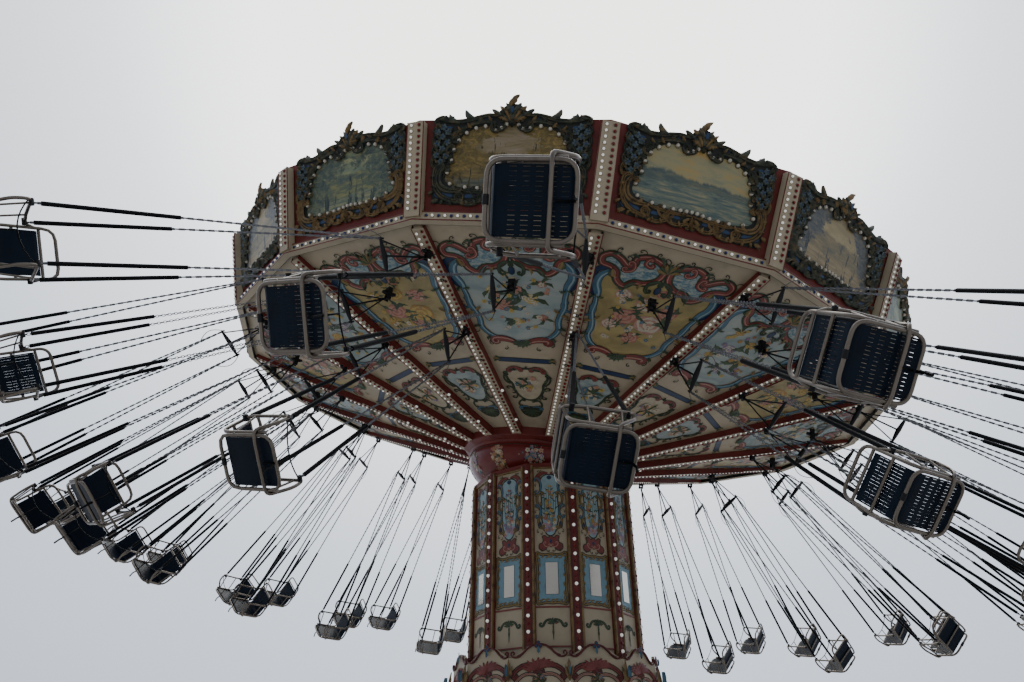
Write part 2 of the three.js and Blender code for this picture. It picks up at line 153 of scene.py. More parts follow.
class Shape:
    """Parts gathered one by one, each with a material, then made into one mesh."""

    def __init__(self):
        self.parts = []

    def add(self, points, faces, slot, smooth=False, uvs=None):
        points = np.asarray(points, float).reshape(-1, 3)
        uvs = np.zeros((len(points), 2)) if uvs is None else uvs
        self.parts.append((points, np.asarray(faces, int), slot, smooth, uvs))

    def sheet(self, rows, slot, closed=False, looped=False, flip=False, smooth=False):
        """Quads between rows of points. Closed joins each row's ends, looped the last row to the first."""
        rows = np.asarray(rows, float)
        count, columns = rows.shape[:2]
        i, j = np.meshgrid(np.arange(count - (not looped)), np.arange(columns - (not closed)), indexing="ij")
        i, j = i.ravel(), j.ravel()
        here, below, across = i * columns, (i + 1) % count * columns, (j + 1) % columns
        faces = np.stack([here + j, here + across, below + across, below + j], 1)
        self.add(rows, faces[:, ::-1] if flip else faces, slot, smooth)

    def cone(self, outline, middle, slot, smooth=False, uvs=None):
        """Triangles from an outline to one point."""
        count = len(outline)
        faces = [(i, (i + 1) % count, count) for i in range(count)]
        self.add(np.vstack([outline, middle]), faces, slot, smooth, uvs)

    def stamp(self, other, matrix=np.eye(4), mirror=False, slots=None, shift=0):
        """Another shape's parts, moved, mirrored across, with other slots or shifted pictures."""
        if mirror:
            matrix = matrix @ np.diag([-1, 1, 1, 1])
        flips = np.linalg.det(matrix) < 0
        for points, faces, slot, smooth, uvs in other.parts:
            points = points @ matrix[:3, :3].T + matrix[:3, 3]
            faces = faces[:, ::-1] if flips else faces
            self.parts.append((points, faces, (slots or {}).get(slot, slot), smooth, uvs + (shift, 0)))

    def mesh(self, name):
        points, faces, slots, smooth, uvs = zip(*self.parts)
        starts = np.cumsum([0] + [len(part) for part in points])
        counts = [len(part) for part in faces]
        loops = np.concatenate([(part + start).ravel() for part, start in zip(faces, starts)])
        sizes = np.repeat([part.shape[1] for part in faces], counts)
        names = sorted(set(slots))
        mesh = bpy.data.meshes.new(name)
        mesh.vertices.add(int(starts[-1]))
        mesh.vertices.foreach_set("co", np.concatenate(points).astype(np.float32).ravel())
        mesh.loops.add(len(loops))
        mesh.loops.foreach_set("vertex_index", loops.astype(np.int32))
        mesh.polygons.add(len(sizes))
        mesh.polygons.foreach_set("loop_start", (np.cumsum(sizes) - sizes).astype(np.int32))
        numbers = np.repeat([names.index(slot) for slot in slots], counts)
        mesh.polygons.foreach_set("material_index", numbers.astype(np.int32))
        mesh.polygons.foreach_set("use_smooth", np.repeat(smooth, counts))
        layer = mesh.uv_layers.new(name="UVMap")
        layer.data.foreach_set("uv", np.concatenate(uvs)[loops].astype(np.float32).ravel())
        for each in names:
            mesh.materials.append(bpy.data.materials[each])
        mesh.update(calc_edges=True)
        mesh.validate()
        return mesh


def new_object(name, data):
    made = bpy.data.objects.new(name, data)
    bpy.context.scene.collection.objects.link(made)
    return made


def place(name, shape, body, matrix=np.eye(4), stands_for=()):
    """A piece that rides on body. A shared mesh is placed by the object, any other in its points,
    so that the box of a tilted piece stays tight."""
    shared = isinstance(shape, bpy.types.Mesh)
    mesh = shape if shared else shape.mesh(name)
    piece = new_object(name, mesh)
    if shared:
        piece.matrix_world = Matrix(matrix)
    else:
        mesh.transform(Matrix(matrix))
    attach(piece, body)
    if stands_for:
        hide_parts(*stands_for)


def circle(count):
    a = np.arange(count) / count * 2 * math.pi
    return np.cos(a), np.sin(a)


def box(shape, low, high, slot):
    (x0, y0, z0), (x1, y1, z1) = low, high
    points = [(x, y, z) for z in (z0, z1) for x, y in ((x0, y0), (x1, y0), (x1, y1), (x0, y1))]
    faces = [(3, 2, 1, 0), (4, 5, 6, 7), (0, 1, 5, 4), (1, 2, 6, 5), (2, 3, 7, 6), (3, 0, 4, 7)]
    shape.add(points, faces, slot)


def rounded(points, radius, steps, closed=False):
    """A polyline with its corners rounded off."""
    points = [np.asarray(point, float) for point in points]
    count = len(points)
    made = [] if closed else [points[0]]
    for i in range(count) if closed else range(1, count - 1):
        here = points[i]
        back, ahead = points[i - 1] - here, points[(i + 1) % count] - here
        back_length, ahead_length = np.linalg.norm(back), np.linalg.norm(ahead)
        size = min(radius, back_length * 0.49, ahead_length * 0.49)
        start, end = here + back / back_length * size, here + ahead / ahead_length * size
        for t in np.linspace(0, 1, steps + 1):
            made.append(start * (1 - t) ** 2 + here * 2 * t * (1 - t) + end * t * t)
    return np.array(made if closed else made + [points[-1]])


def tube(shape, path, radius, slot, sides=8, closed=False):
    path = np.asarray(path, float)
    ahead = np.roll(path, -1, 0) - np.roll(path, 1, 0)
    if not closed:
        ahead[0], ahead[-1] = path[1] - path[0], path[-1] - path[-2]
    ahead /= np.linalg.norm(ahead, axis=1)[:, None]
    side = np.cross(ahead[0], (0, 0, 1) if abs(ahead[0][2]) < 0.9 else (1, 0, 0))
    first = []
    for direction in ahead:
        side = side - direction * (side @ direction)
        side = side / np.linalg.norm(side)
        first.append(side)
    c, s = circle(sides)
    ring = np.array(first)[:, None] * c[:, None] + np.cross(ahead, first)[:, None] * s[:, None]
    rows = path[:, None] + ring * np.broadcast_to(radius, len(path))[:, None, None]
    shape.sheet(rows, slot, closed=True, looped=closed, smooth=True)
    if not closed:
        shape.add(rows[0], [range(sides)[::-1]], slot)
        shape.add(rows[-1], [range(sides)], slot)


# Materials

# Places of the colours along the noise in a worn paint, a painted field and a painted landscape
WEAR_STOPS = (0.3, 0.48, 0.72)
FIELD_STOPS = (0.28, 0.5, 0.72)
SCENE_STOPS = (0.34, 0.5, 0.66)


def new_material(name, roughness=0.45):
    """The node tree and the shader's inputs of a new material."""
    material = bpy.data.materials.new(name)
    material.use_nodes = True
    inputs = material.node_tree.nodes["Principled BSDF"].inputs
    inputs["Roughness"].default_value = roughness
    return material.node_tree, inputs


def node(tree, kind, *values, operation=None, **named):
    """The outputs of a new node. Each input is linked to an output, or set to a value."""
    made = tree.nodes.new("ShaderNode" + kind)
    if operation:
        made.operation = operation
    pairs = list(zip(made.inputs, values))
    pairs += [(made.inputs[name.replace("_", " ")], value) for name, value in named.items()]
    for socket, value in pairs:
        if isinstance(value, bpy.types.NodeSocket):
            tree.links.new(value, socket)
        else:
            socket.default_value = value
    return made.outputs


def ramp(tree, factor, stops, interpolation="LINEAR"):
    """Colours along a factor. A stop is a position and a colour, in rising order."""
    made = tree.nodes.new("ShaderNodeValToRGB")
    elements = made.color_ramp.elements
    elements.remove(elements[0])
    for i, (position, colour) in enumerate(stops):
        element = elements.new(position) if i else elements[0]
        element.position = position
        element.color = (*colour, 1)
    made.color_ramp.interpolation = interpolation
    tree.links.new(factor, made.inputs["Fac"])
    return made.outputs["Color"]


def paint(name, colour, roughness=0.5, metallic=0, wear=0.3, scale=8, bump=0.15, shine=0.5, coat=0, glow=0,
          dark=None, light=None):
    """A paint or metal, with darker and lighter clouds where it has wear."""
    tree, inputs = new_material(name, roughness)
    inputs["Metallic"].default_value = metallic
    inputs["Specular IOR Level"].default_value = shine
    if coat:
        inputs["Coat Weight"].default_value = coat
        inputs["Coat Roughness"].default_value = 0.12
    if glow:
        inputs["Emission Color"].default_value = (*colour, 1)
        inputs["Emission Strength"].default_value = glow
    if not wear:
        inputs["Base Color"].default_value = (*colour, 1)
        return
    dark = dark or [c * (1 - wear) for c in colour]
    light = light or [min(1, c * (1 + wear * 0.35)) for c in colour]
    place_in = node(tree, "TexCoord")["Object"]
    cloud = node(tree, "TexNoise", place_in, Scale=scale, Detail=6, Roughness=0.62)["Fac"]
    mottled = ramp(tree, cloud, zip(WEAR_STOPS, (dark, colour, light)))
    tree.links.new(mottled, inputs["Base Color"])
    if bump:
        fine = node(tree, "TexNoise", place_in, Scale=scale * 14, Detail=3)["Fac"]
        raised = node(tree, "Bump", Strength=bump, Distance=0.004, Height=fine)["Normal"]
        tree.links.new(raised, inputs["Normal"])


paint("cream", (0.42, 0.345, 0.23), wear=0.22, scale=1.6)
paint("maroon", (0.155, 0.028, 0.021), 0.45, wear=0.35, scale=2.2, shine=0.3)
paint("dark_red", (0.1, 0.012, 0.012), 0.4, scale=4)
paint("brick", (0.2, 0.04, 0.032), 0.45, scale=4)
paint("gilt", (0.2, 0.125, 0.045), 0.42, 0.2, wear=0.85, scale=11, bump=0.5)
paint("green", (0.042, 0.054, 0.034), 0.45, wear=0.6, scale=13, bump=0.4, dark=(0.012, 0.016, 0.01),
      light=(0.19, 0.125, 0.045))
paint("shade", (0.012, 0.015, 0.009), 0.6, scale=6)
paint("socket", (0.075, 0.065, 0.05), 0.45, wear=0)
paint("field_blue", (0.015, 0.045, 0.12), 0.4)
paint("flower_blue", (0.068, 0.1, 0.108), wear=0.6, scale=14)
paint("deep_blue", (0.009, 0.03, 0.085), 0.4)
paint("ribbon", (0.062, 0.145, 0.205), 0.45, wear=0.35, scale=5)
paint("panel_blue", (0.17, 0.3, 0.36), scale=6)
paint("sky_blue", (0.27, 0.38, 0.4), scale=4)
paint("leaf_green", (0.035, 0.065, 0.03), wear=0.4, scale=9, light=(0.075, 0.11, 0.04))
paint("ink", (0.022, 0.024, 0.012), scale=5)
paint("gilt_paint", (0.22, 0.145, 0.045), wear=0.4, scale=7)
paint("ochre", (0.36, 0.2, 0.05), wear=0.35, scale=5)
paint("gold", (0.46, 0.33, 0.08), scale=5)
paint("rose", (0.34, 0.13, 0.085))
paint("rose_light", (0.42, 0.22, 0.16))
paint("violet", (0.2, 0.14, 0.24))
paint("lilac", (0.34, 0.22, 0.3))
paint("pale", (0.5, 0.44, 0.33), wear=0.2)
paint("navy", (0.003, 0.009, 0.02), 0.45, scale=9, shine=0.15)
paint("tube_steel", (0.19, 0.16, 0.13), 0.28, 0.75, scale=9, bump=0.05)
paint("black_iron", (0.008, 0.008, 0.009), wear=0.4, shine=0.3)
paint("black_sleeve", (0.003, 0.003, 0.0035), shine=0.15)
paint("chain_steel", (0.16, 0.16, 0.165), 0.42, 0.3, wear=0.4, scale=10)
paint("bulb_white", (0.9, 0.87, 0.8), 0.25, wear=0, glow=0.35)
paint("bulb_cream", (0.55, 0.5, 0.4), 0.25, wear=0)
paint("bulb_red", (0.2, 0.01, 0.01), 0.2, wear=0)
paint("bulb_blue", (0.02, 0.03, 0.14), 0.2, wear=0)
paint("bowl_gloss", (0.15, 0.014, 0.011), 0.4, scale=1.5, bump=0.05, shine=0.2, coat=0.35)
paint("grey_steel", (0.22, 0.23, 0.24), 0.5, 0.3, scale=3)
paint("mirror", (0.66, 0.6, 0.5), 0.08, 1, wear=0.1, scale=2, bump=0)
paint("floor", (0.4, 0.39, 0.38), 0.9, wear=0)


def noise_at(tree, place_in, stretch, detail, roughness, distortion):
    vector = node(tree, "Mapping", place_in, Scale=(*stretch, 1))["Vector"]
    return node(tree, "TexNoise", vector, Scale=1, Detail=detail, Roughness=roughness,
                Distortion=distortion)["Fac"]


def picture(name, positions, colours, stretch=(3.2, 5), detail=5):
    """A painted field: noise in the panel's own picture coordinates, run through a ramp of colours."""
    tree, inputs = new_material(name)
    cloud = noise_at(tree, node(tree, "UVMap")["UV"], stretch, detail, 0.6, 0.8)
    tree.links.new(ramp(tree, cloud, zip(positions, colours)), inputs["Base Color"])


picture("marble", (0.38, 0.46, 0.54, 0.62),
        [(0.06, 0.13, 0.18), (0.15, 0.24, 0.27), (0.27, 0.33, 0.32), (0.42, 0.4, 0.3)], (11, 14), 9)
picture("tan_field", FIELD_STOPS, [(0.22, 0.17, 0.07), (0.33, 0.255, 0.1), (0.46, 0.35, 0.14)])
picture("sky_field", FIELD_STOPS, [(0.18, 0.24, 0.24), (0.29, 0.34, 0.32), (0.4, 0.42, 0.36)])
picture("pale_field", FIELD_STOPS, [(0.34, 0.28, 0.18), (0.43, 0.36, 0.24), (0.5, 0.43, 0.3)])


def landscape(name, sky, hills, water, trees, ridge_height, shore_height, cover, trunks):
    """A generic painted landscape: sky over hills, water in front, trees from the sides."""
    tree, inputs = new_material(name)
    place_in = node(tree, "UVMap")["UV"]
    across, height = node(tree, "SeparateXYZ", place_in)[:2]

    def noise(stretch, detail, distortion=0.5):
        return noise_at(tree, place_in, stretch, detail, 0.72, distortion)

    def sums(operation, *values):
        return node(tree, "Math", *values, operation=operation)[0]

    def added(value, stretch, detail, distortion, amount):
        return sums("ADD", value, sums("MULTIPLY", noise(stretch, detail, distortion), amount))

    def colours(factor, three):
        return ramp(tree, factor, zip(SCENE_STOPS, three))

    def mixed(value, edge, soft, below, above):
        """One colour below the edge and the other above it."""
        factor = node(tree, "MapRange", value, edge - soft, edge + soft)["Result"]
        made = tree.nodes.new("ShaderNodeMix")
        made.data_type = "RGBA"
        for output, number in ((factor, 0), (below, 6), (above, 7)):
            tree.links.new(output, made.inputs[number])
        return made.outputs[2]

    cloud = colours(noise((3.4, 7), 8), sky)
    slopes = colours(noise((6, 13), 10), hills)
    waves = colours(noise((5, 24), 10), water)
    leaves = colours(noise((13, 12), 12, 0.9), trees)
    colour = mixed(added(height, (2.6, 0.4), 6, 0.2, -0.42), ridge_height, 0.02, slopes, cloud)
    colour = mixed(added(height, (3.4, 0.9), 4, 0.2, -0.3), shore_height, 0.015, waves, colour)
    if trunks:
        stems = sums("SUBTRACT", noise((15, 1.3), 5, 0.25), sums("MULTIPLY", height, 0.1))
        bark = colours(noise((40, 6), 4), [[c * 0.3 for c in trees[0]], trees[0], trees[1]])
        colour = mixed(stems, trunks, 0.012, colour, bark)
    side = sums("ABSOLUTE", sums("SUBTRACT", sums("FRACT", across), 0.5))
    crown = added(sums("MULTIPLY", side, 0.85), (4.6, 3.6), 7, 0.5, 0.95)
    crown = sums("ADD", crown, sums("MULTIPLY", height, 0.38 if trunks else 0.12))
    tree.links.new(mixed(crown, cover, 0.03, colour, leaves), inputs["Base Color"])


landscape("scene_mist", [(0.24, 0.21, 0.14), (0.36, 0.28, 0.14), (0.44, 0.35, 0.19)],
          [(0.12, 0.12, 0.1), (0.22, 0.18, 0.1), (0.34, 0.26, 0.13)],
          [(0.18, 0.15, 0.09), (0.3, 0.23, 0.12), (0.4, 0.31, 0.17)],
          [(0.04, 0.05, 0.06), (0.1, 0.11, 0.11), (0.22, 0.18, 0.11)], 0.34, 0.12, 0.9, 0.55)
landscape("scene_wood", [(0.12, 0.17, 0.13), (0.22, 0.25, 0.13), (0.4, 0.37, 0.16)],
          [(0.04, 0.07, 0.08), (0.12, 0.14, 0.07), (0.3, 0.28, 0.09)],
          [(0.05, 0.08, 0.09), (0.15, 0.18, 0.11), (0.36, 0.33, 0.14)],
          [(0.02, 0.035, 0.035), (0.07, 0.1, 0.07), (0.2, 0.2, 0.08)], 0.36, 0.06, 0.86, 0.535)
landscape("scene_autumn", [(0.17, 0.13, 0.05), (0.26, 0.2, 0.11), (0.34, 0.27, 0.2)],
          [(0.06, 0.05, 0.02), (0.16, 0.12, 0.04), (0.3, 0.2, 0.06)],
          [(0.05, 0.06, 0.05), (0.1, 0.11, 0.08), (0.2, 0.18, 0.1)],
          [(0.05, 0.04, 0.015), (0.17, 0.12, 0.03), (0.34, 0.23, 0.06)], 0.34, 0.02, 0.88, 0.515)
landscape("scene_sea", [(0.24, 0.25, 0.16), (0.35, 0.31, 0.16), (0.46, 0.3, 0.09)],
          [(0.06, 0.08, 0.09), (0.1, 0.13, 0.11), (0.2, 0.19, 0.11)],
          [(0.05, 0.09, 0.1), (0.14, 0.18, 0.14), (0.36, 0.31, 0.17)],
          [(0.03, 0.05, 0.04), (0.08, 0.1, 0.06), (0.16, 0.15, 0.07)], 0.3, 0.24, 1.1, 0)
SCENES = ("scene_mist", "scene_wood", "scene_autumn", "scene_sea")


# Swings: one chair, hanger and chains, in the swing's own frame. +X is outwards and the rider faces +Y.

SHELL_PROFILE = rounded([(0.262, -0.236), (0.235, -0.208), (-0.05, -0.218), (-0.215, -0.214), (-0.236, -0.12),
                         (-0.262, 0.13), (-0.272, 0.152)], 0.05, 4)
PROFILE_STEPS = np.append(0, np.cumsum(np.linalg.norm(np.diff(SHELL_PROFILE, axis=0), axis=1)))
SHELL_END = PROFILE_STEPS[-1]
SHELL_THICK = 0.007
SHELL_HALF = 0.207
SLOT_MARGIN = 0.045
SLOTTED = ((SLOT_MARGIN, 0.425), (0.555, SHELL_END - SLOT_MARGIN))
SLOTS_ACROSS = 15
SLOT_ROWS = 5
SLOT_LENGTH = 0.044
SLOT_WIDTH = 0.0027
PIPE = 0.015
LINK_WIRE = 0.0045
LINK_HALF = 0.011
FINE_PITCH = 0.032
PLAIN_PITCH = 0.046


def shell_plate(shape, start, end, left=-SHELL_HALF, right=SHELL_HALF):
    """A piece of the curved seat shell, from start to end along its profile."""
    between = (PROFILE_STEPS > start + 1e-4) & (PROFILE_STEPS < end - 1e-4)
    steps = np.concatenate([[start], PROFILE_STEPS[between], [end]])
    y, z = (np.interp(steps, PROFILE_STEPS, column) for column in SHELL_PROFILE.T)
    z = z - SWING_LENGTH
    dy, dz = np.gradient(y), np.gradient(z)
    size = np.hypot(dy, dz)
    back_y, back_z = y - dz / size * SHELL_THICK, z + dy / size * SHELL_THICK
    corners = ((left, y, z), (right, y, z), (right, back_y, back_z), (left, back_y, back_z))
    rows = np.stack([np.column_stack([np.full(len(steps), x), *yz]) for x, *yz in corners], 1)
    shape.sheet(rows, "navy", closed=True, flip=True)
    shape.add([*rows[0], *rows[-1]], [(0, 1, 2, 3), (7, 6, 5, 4)], "navy")


def seat_shell(shape, slotted):
    """Navy shell with rows of slots that run from front to back, and a plain band at the bend."""
    if not slotted:
        shell_plate(shape, 0, SHELL_END)
        return
    (pan_start, pan_end), (back_start, back_end) = SLOTTED
    for start, end in ((0, pan_start), (pan_end, back_start), (back_end, SHELL_END)):
        shell_plate(shape, start, end)
    pitch = 2 * SHELL_HALF / SLOTS_ACROSS
    for start, end in SLOTTED:
        step = (end - start) / SLOT_ROWS
        for low in start + np.arange(SLOT_ROWS) * step:
            shell_plate(shape, low + SLOT_LENGTH, low + step)
            for middle in -SHELL_HALF + np.arange(SLOTS_ACROSS + 1) * pitch:
                left = max(middle - (pitch - SLOT_WIDTH) / 2, -SHELL_HALF)
                right = min(middle + (pitch - SLOT_WIDTH) / 2, SHELL_HALF)
                shell_plate(shape, low, low + SLOT_LENGTH, left, right)


def chain(shape, start, end, fine):
    """Links from start to end, each turned a quarter against the one before."""
    pitch = FINE_PITCH if fine else PLAIN_PITCH
    length = np.linalg.norm(end - start)
    along = (end - start) / length
    side = np.cross(along, (0, 1, 0))
    side /= np.linalg.norm(side)
    other = np.cross(along, side)
    link = Shape()
    if fine:
        tall = pitch * 0.64
        loop = [(-LINK_HALF, 0, -tall), (LINK_HALF, 0, -tall), (LINK_HALF, 0, tall), (-LINK_HALF, 0, tall)]
        tube(link, rounded(loop, 0.012, 1, closed=True), LINK_WIRE, "chain_steel", 3, closed=True)
    else:
        tall = pitch * 0.6
        box(link, (-LINK_HALF, -0.004, -tall), (LINK_HALF, 0.004, tall), "chain_steel")
    count = int(length / pitch)
    for i in range(count):
        middle = start + along * (i + 0.5) * length / count
        u, v = (side, other) if i % 2 else (other, -side)
        shape.stamp(link, axes(middle, u, v, along))


def swing_shape(fine):
    shape = Shape()
    steps, sides = (6, 12) if fine else (3, 7)
    base = -SWING_LENGTH
    pan = base - PAN_DROP
    arm = base + ARM_RISE
    bar = -SPREADER_DROP

    def pipe(path, radius=PIPE, slot="tube_steel", closed=False):
        tube(shape, path, radius, slot, sides, closed)

    def iron(path, radius):
        pipe(path, radius, "black_iron")

    def strap(path, radius):
        tube(shape, path, radius, "black_sleeve", 5)

    def to_left(path):
        return path + [(-x, y, z) for x, y, z in reversed(path)]

    seat_shell(shape, fine)
    half, front, rear = 0.232, 0.268, -0.25
    under = [(half, front, pan), (-half, front, pan), (-half, rear, pan), (half, rear, pan)]
    pipe(rounded(under, 0.105, steps, closed=True), closed=True)
    back = [(0.246, 0.21, pan + 0.022), (0.246, -0.246, pan + 0.026), (half, -0.286, base + 0.288)]
    pipe(rounded(to_left(back), 0.1, steps))
    for height, y in ((0.168, -0.283), (-0.03, -0.27)):
        pipe([(-0.236, y, base + height), (0.236, y, base + height)], PIPE * 0.92)
    arms = [(0.234, -0.278, base + 0.15), (0.266, -0.262, arm + 0.012), (ARM_HALF, -0.12, arm),
            (ARM_HALF, 0.246, arm), (ARM_HALF, 0.246, base - 0.07), (0.276, 0.12, pan - 0.004),
            (0.2, 0.125, pan - 0.024)]
    pipe(rounded(to_left(arms), 0.055, steps))
    for side in (-1, 1):
        for y in (-0.1, 0.16):
            pipe([(side * ARM_HALF, y, arm), (side * 0.242, y * 0.9, pan)], PIPE * 0.62)
        for way in (-1, 1):
            foot = np.array([side * CHAIR_HALF, way * 0.215, arm])
            hook = np.array([side * SPREADER_HALF, way * 0.006, bar - 0.03])
            chain(shape, foot, hook, fine)
            pipe([foot + (hook - foot) * 0.02, foot + (hook - foot) * 0.345], 0.0205, "black_sleeve")
            iron([foot + (-0.022 * side, 0, 0), foot + (0.034 * side, 0, 0)], 0.021)
    # Lap chain that hangs from one arm to the other, and the crotch strap with its loose end
    strap([(x, 0.238 + 0.02 * (1 - (x / 0.28) ** 2), arm - 0.1 * (1 - (x / 0.28) ** 2) - 0.02)
           for x in np.linspace(-0.275, 0.275, 11)], 0.006)
    strap([(0, 0.15, pan - 0.01), (0, 0.262, pan + 0.01), (0, 0.262, arm - 0.12)], 0.008)
    strap([(0, 0.255, pan - 0.012), (0.004, 0.275, pan - 0.07), (0, 0.268, pan - 0.14)], 0.011)
    iron([(-0.03, -0.25, pan), (0.03, -0.25, pan)], 0.02)
    # Hanger: pin, plate, V rods, the tapered spreader, and slack safety chains beside its ends
    iron([(0, -0.031, 0), (0, 0.031, 0)], 0.017)
    box(shape, (-0.016, -0.012, -0.13), (0.016, 0.012, 0.006), "black_iron")
    for side in (-1, 1):
        iron([(0, 0, -0.06), (side * 0.19, 0, bar)], 0.0095)
        iron([(0, 0, bar - 0.012), (side * 0.12, 0, bar - 0.016), (side * 0.231, 0, bar - 0.02)],
             [0.036, 0.027, 0.013])
        iron([(side * 0.216, 0, bar + 0.022), (side * 0.216, 0, bar - 0.055)], 0.013)
        slack = [(side * (0.226 + 0.085 * math.sin(math.pi * t)), 0.004, bar - 0.36 * t)
                 for t in np.linspace(0, 1, 9)]
        tube(shape, slack, 0.0055, "chain_steel", 4)
    iron([(0, 0, -0.02), (0, 0, bar)], 0.0125)
    return shape


def hinges():
    """Every swing's name, ring, number, angle and the matrix of its hinge."""
    for name, ring in RINGS.items():
        height = (ring["radius"] - RIM_RADIUS) * SOFFIT_SLOPE - PIVOT_DROP
        for i in range(SECTORS):
            angle = CANOPY_PHASE + SECTOR_ANGLE * (i + ring["offset"])
            at = move(*(outward(angle) * ring["radius"] + UP * height))
            turned = turn(angle + ring["trailing"].get(i, 0) - 90)
            yield f"swing_{name}_{i:02d}", ring, i, angle, at @ turned


def swings():
    fine, plain = swing_shape(True).mesh("swing_fine"), swing_shape(False).mesh("swing_plain")
    for name, ring, i, angle, hinge in hinges():
        fling = ring["fling"] + ring["wave"] * math.cos(math.radians(angle - WAVE_PHASE))
        fling += TILT_ANGLE * math.cos(math.radians(angle - TILT_AXIS_ANGLE)) + ring["flung"].get(i, 0)
        at = CANOPY @ hinge @ turn(-fling, (0, 1, 0))
        mesh = fine if i in ring["near"] else plain
        place(f"{name}_look", mesh, f"{name}_body", at, [name])


# Ornament drawn in a panel's own plane: u across, v up, n out of it

FLAT = 0.001
TIGHTENING = 0.78
PETAL = ((-0.5, 0.72, 0.15), (-0.2, 1, 0.45), (0.2, 1, 0.45), (0.5, 0.72, 0.15))
# Across and height of a carved band's face, and of the two ridges of a fluted one
RIDGE = ((-0.5, 0), (-0.32, 0.8), (0, 1), (0.32, 0.8), (0.5, 0))
FLUTES = (((-0.45, 0.1), (-0.22, 1), (0.01, 0.1)), ((0.04, 0.08), (0.24, 0.8), (0.44, 0.08)))


def level(points, n):
    return np.column_stack([points, np.full(len(points), float(n))])


def around(centre, a, across, up):
    """The point at an angle round a centre."""
    return np.array([centre[0] + math.cos(a) * across, centre[1] + math.sin(a) * up])


def mirrored(path):
    return np.asarray(path, float) * (-1, 1)


def sides_of(path, closed=False):
    """The direction to the left of a path, at each of its points."""
    ahead = np.roll(path, -1, 0) - np.roll(path, 1, 0) if closed else np.gradient(path, axis=0)
    ahead /= np.maximum(np.linalg.norm(ahead, axis=1), 1e-9)[:, None]
    return np.column_stack([-ahead[:, 1], ahead[:, 0]])


def bowed(start, end, bow, steps):
    """Points from start to end, on a line that bows to its left."""
    start = np.asarray(start, float)
    along = end - start
    t = np.linspace(0, 1, steps + 1)[:, None]
    return start + along * t + np.array([-along[1], along[0]]) * (bow * 4 * t * (1 - t))


def spiral(end, before, radius, way, turns, count):
    """A curl that goes on from a path's end."""
    direction = (end - before) / np.linalg.norm(end - before)
    x, y = np.array([direction[1], -direction[0]]) * way
    t = np.linspace(0, 1, count + 1)[1:]
    a = way * t * turns * 2 * math.pi
    c, s = np.cos(a), np.sin(a)
    arm = np.column_stack([x * c - y * s, x * s + y * c])
    return end - np.array([x, y]) * radius + arm * (radius * (1 - TIGHTENING * t))[:, None]


def scroll(start, end, bulge, size, hooks=(1, 1), steps=5, curls=6, turns=0.9):
    """A bowed line with curled ends. A hook of 1 curls inwards, -1 outwards and 0 not at all."""
    body = bowed(start, end, bulge, steps)
    radius = np.linalg.norm(body[-1] - body[0]) * size
    bow = 1 if bulge >= 0 else -1
    parts = [body]
    if hooks[1]:
        parts.append(spiral(body[-1], body[-2], radius, -bow * hooks[1], turns, curls))
    if hooks[0]:
        parts.insert(0, spiral(body[0], body[1], radius, bow * hooks[0], turns, curls)[::-1])
    return np.concatenate(parts)


def curve(points, steps=3, closed=False):
    """A smooth line through the points."""
    points = np.asarray(points, float)
    count = len(points)
    order = np.arange(count if closed else count - 1)

    def at(index):
        return points[index % count] if closed else points[np.clip(index, 0, count - 1)]

    a, b, c, d = (at(order + i) for i in (-1, 0, 1, 2))
    square, cube = 2 * a - 5 * b + 4 * c - d, 3 * b - a - 3 * c + d
    made = [(2 * b + (c - a) * t + square * t ** 2 + cube * t ** 3) / 2 for t in np.arange(steps) / steps]
    made = np.stack(made, 1).reshape(-1, 2)
    return made if closed else np.vstack([made, points[-1]])


def whole(half, steps=3):
    """A smooth outline from its right half, which runs from the middle line back to it."""
    half = np.asarray(half, float)
    return curve(np.concatenate([half, mirrored(half[-2:0:-1])]), steps, closed=True)


def oval(centre, a, b, count=32, heading=0, ripple=1):
    x, y = circle(count)
    x, y = x * a * ripple, y * b * ripple
    c, s = math.cos(math.radians(heading)), math.sin(math.radians(heading))
    return np.column_stack([x * c - y * s, x * s + y * c]) + centre


def tapered(count, width, ends):
    t = np.linspace(-1, 1, count)
    return width * (ends + (1 - ends) * (1 - np.abs(t) ** 2.2))


def relief(shape, path, width, height, slot, base, ends=0.3, face=RIDGE):
    """A carved band with a rounded face."""
    path, side = np.asarray(path, float), sides_of(path)
    widths = tapered(len(path), width, ends)
    heights = tapered(len(path), height, 0.55)
    lines = [np.column_stack([path - side * (across * widths)[:, None], base + heights * up])
             for across, up in face]
    shape.sheet(np.stack(lines, 1), slot, flip=True, smooth=True)


def ribbon_of(shape, path, side, half_width, n, slot, looped=False):
    rows = [level(path + side * half_width, n), level(path - side * half_width, n)]
    shape.sheet(np.stack(rows, 1), slot, looped=looped)


def band(shape, path, width, n, slot, ends=0.35):
    """A painted band with tapered ends."""
    ribbon_of(shape, np.asarray(path), sides_of(path), tapered(len(path), width, ends)[:, None] / 2, n, slot)


def ring_band(shape, outline, width, n, slot, shift=0):
    """A painted band of even width along a closed outline."""
    side = sides_of(outline, closed=True)
    ribbon_of(shape, outline + side * shift, side, width / 2, n, slot, looped=True)


def fluted(shape, path, width, height, slot, base):
    """A carved scroll with two rounded ridges on a dark bed."""
    band(shape, path, width + 0.014, base + height * 0.2, "shade", 0.4)
    for face in FLUTES:
        relief(shape, path, width, height, slot, base, face=face)


def both(draw, shape, path, *args, **more):
    for half in (path, mirrored(path)):
        draw(shape, half, *args, **more)


def painted(shape, path, width, slot, n, light=None, ends=0.35):
    """A painted band with an ink edge and perhaps a light line, on both halves of a panel."""
    for half in (np.asarray(path), mirrored(path)):
        band(shape, half, width + 0.016, n, "ink", ends + 0.1)
        band(shape, half, width, n + 0.0015, slot, ends)
        if light:
            band(shape, half + sides_of(half) * width * 0.16, width * 0.22, n + 0.003, light, ends)


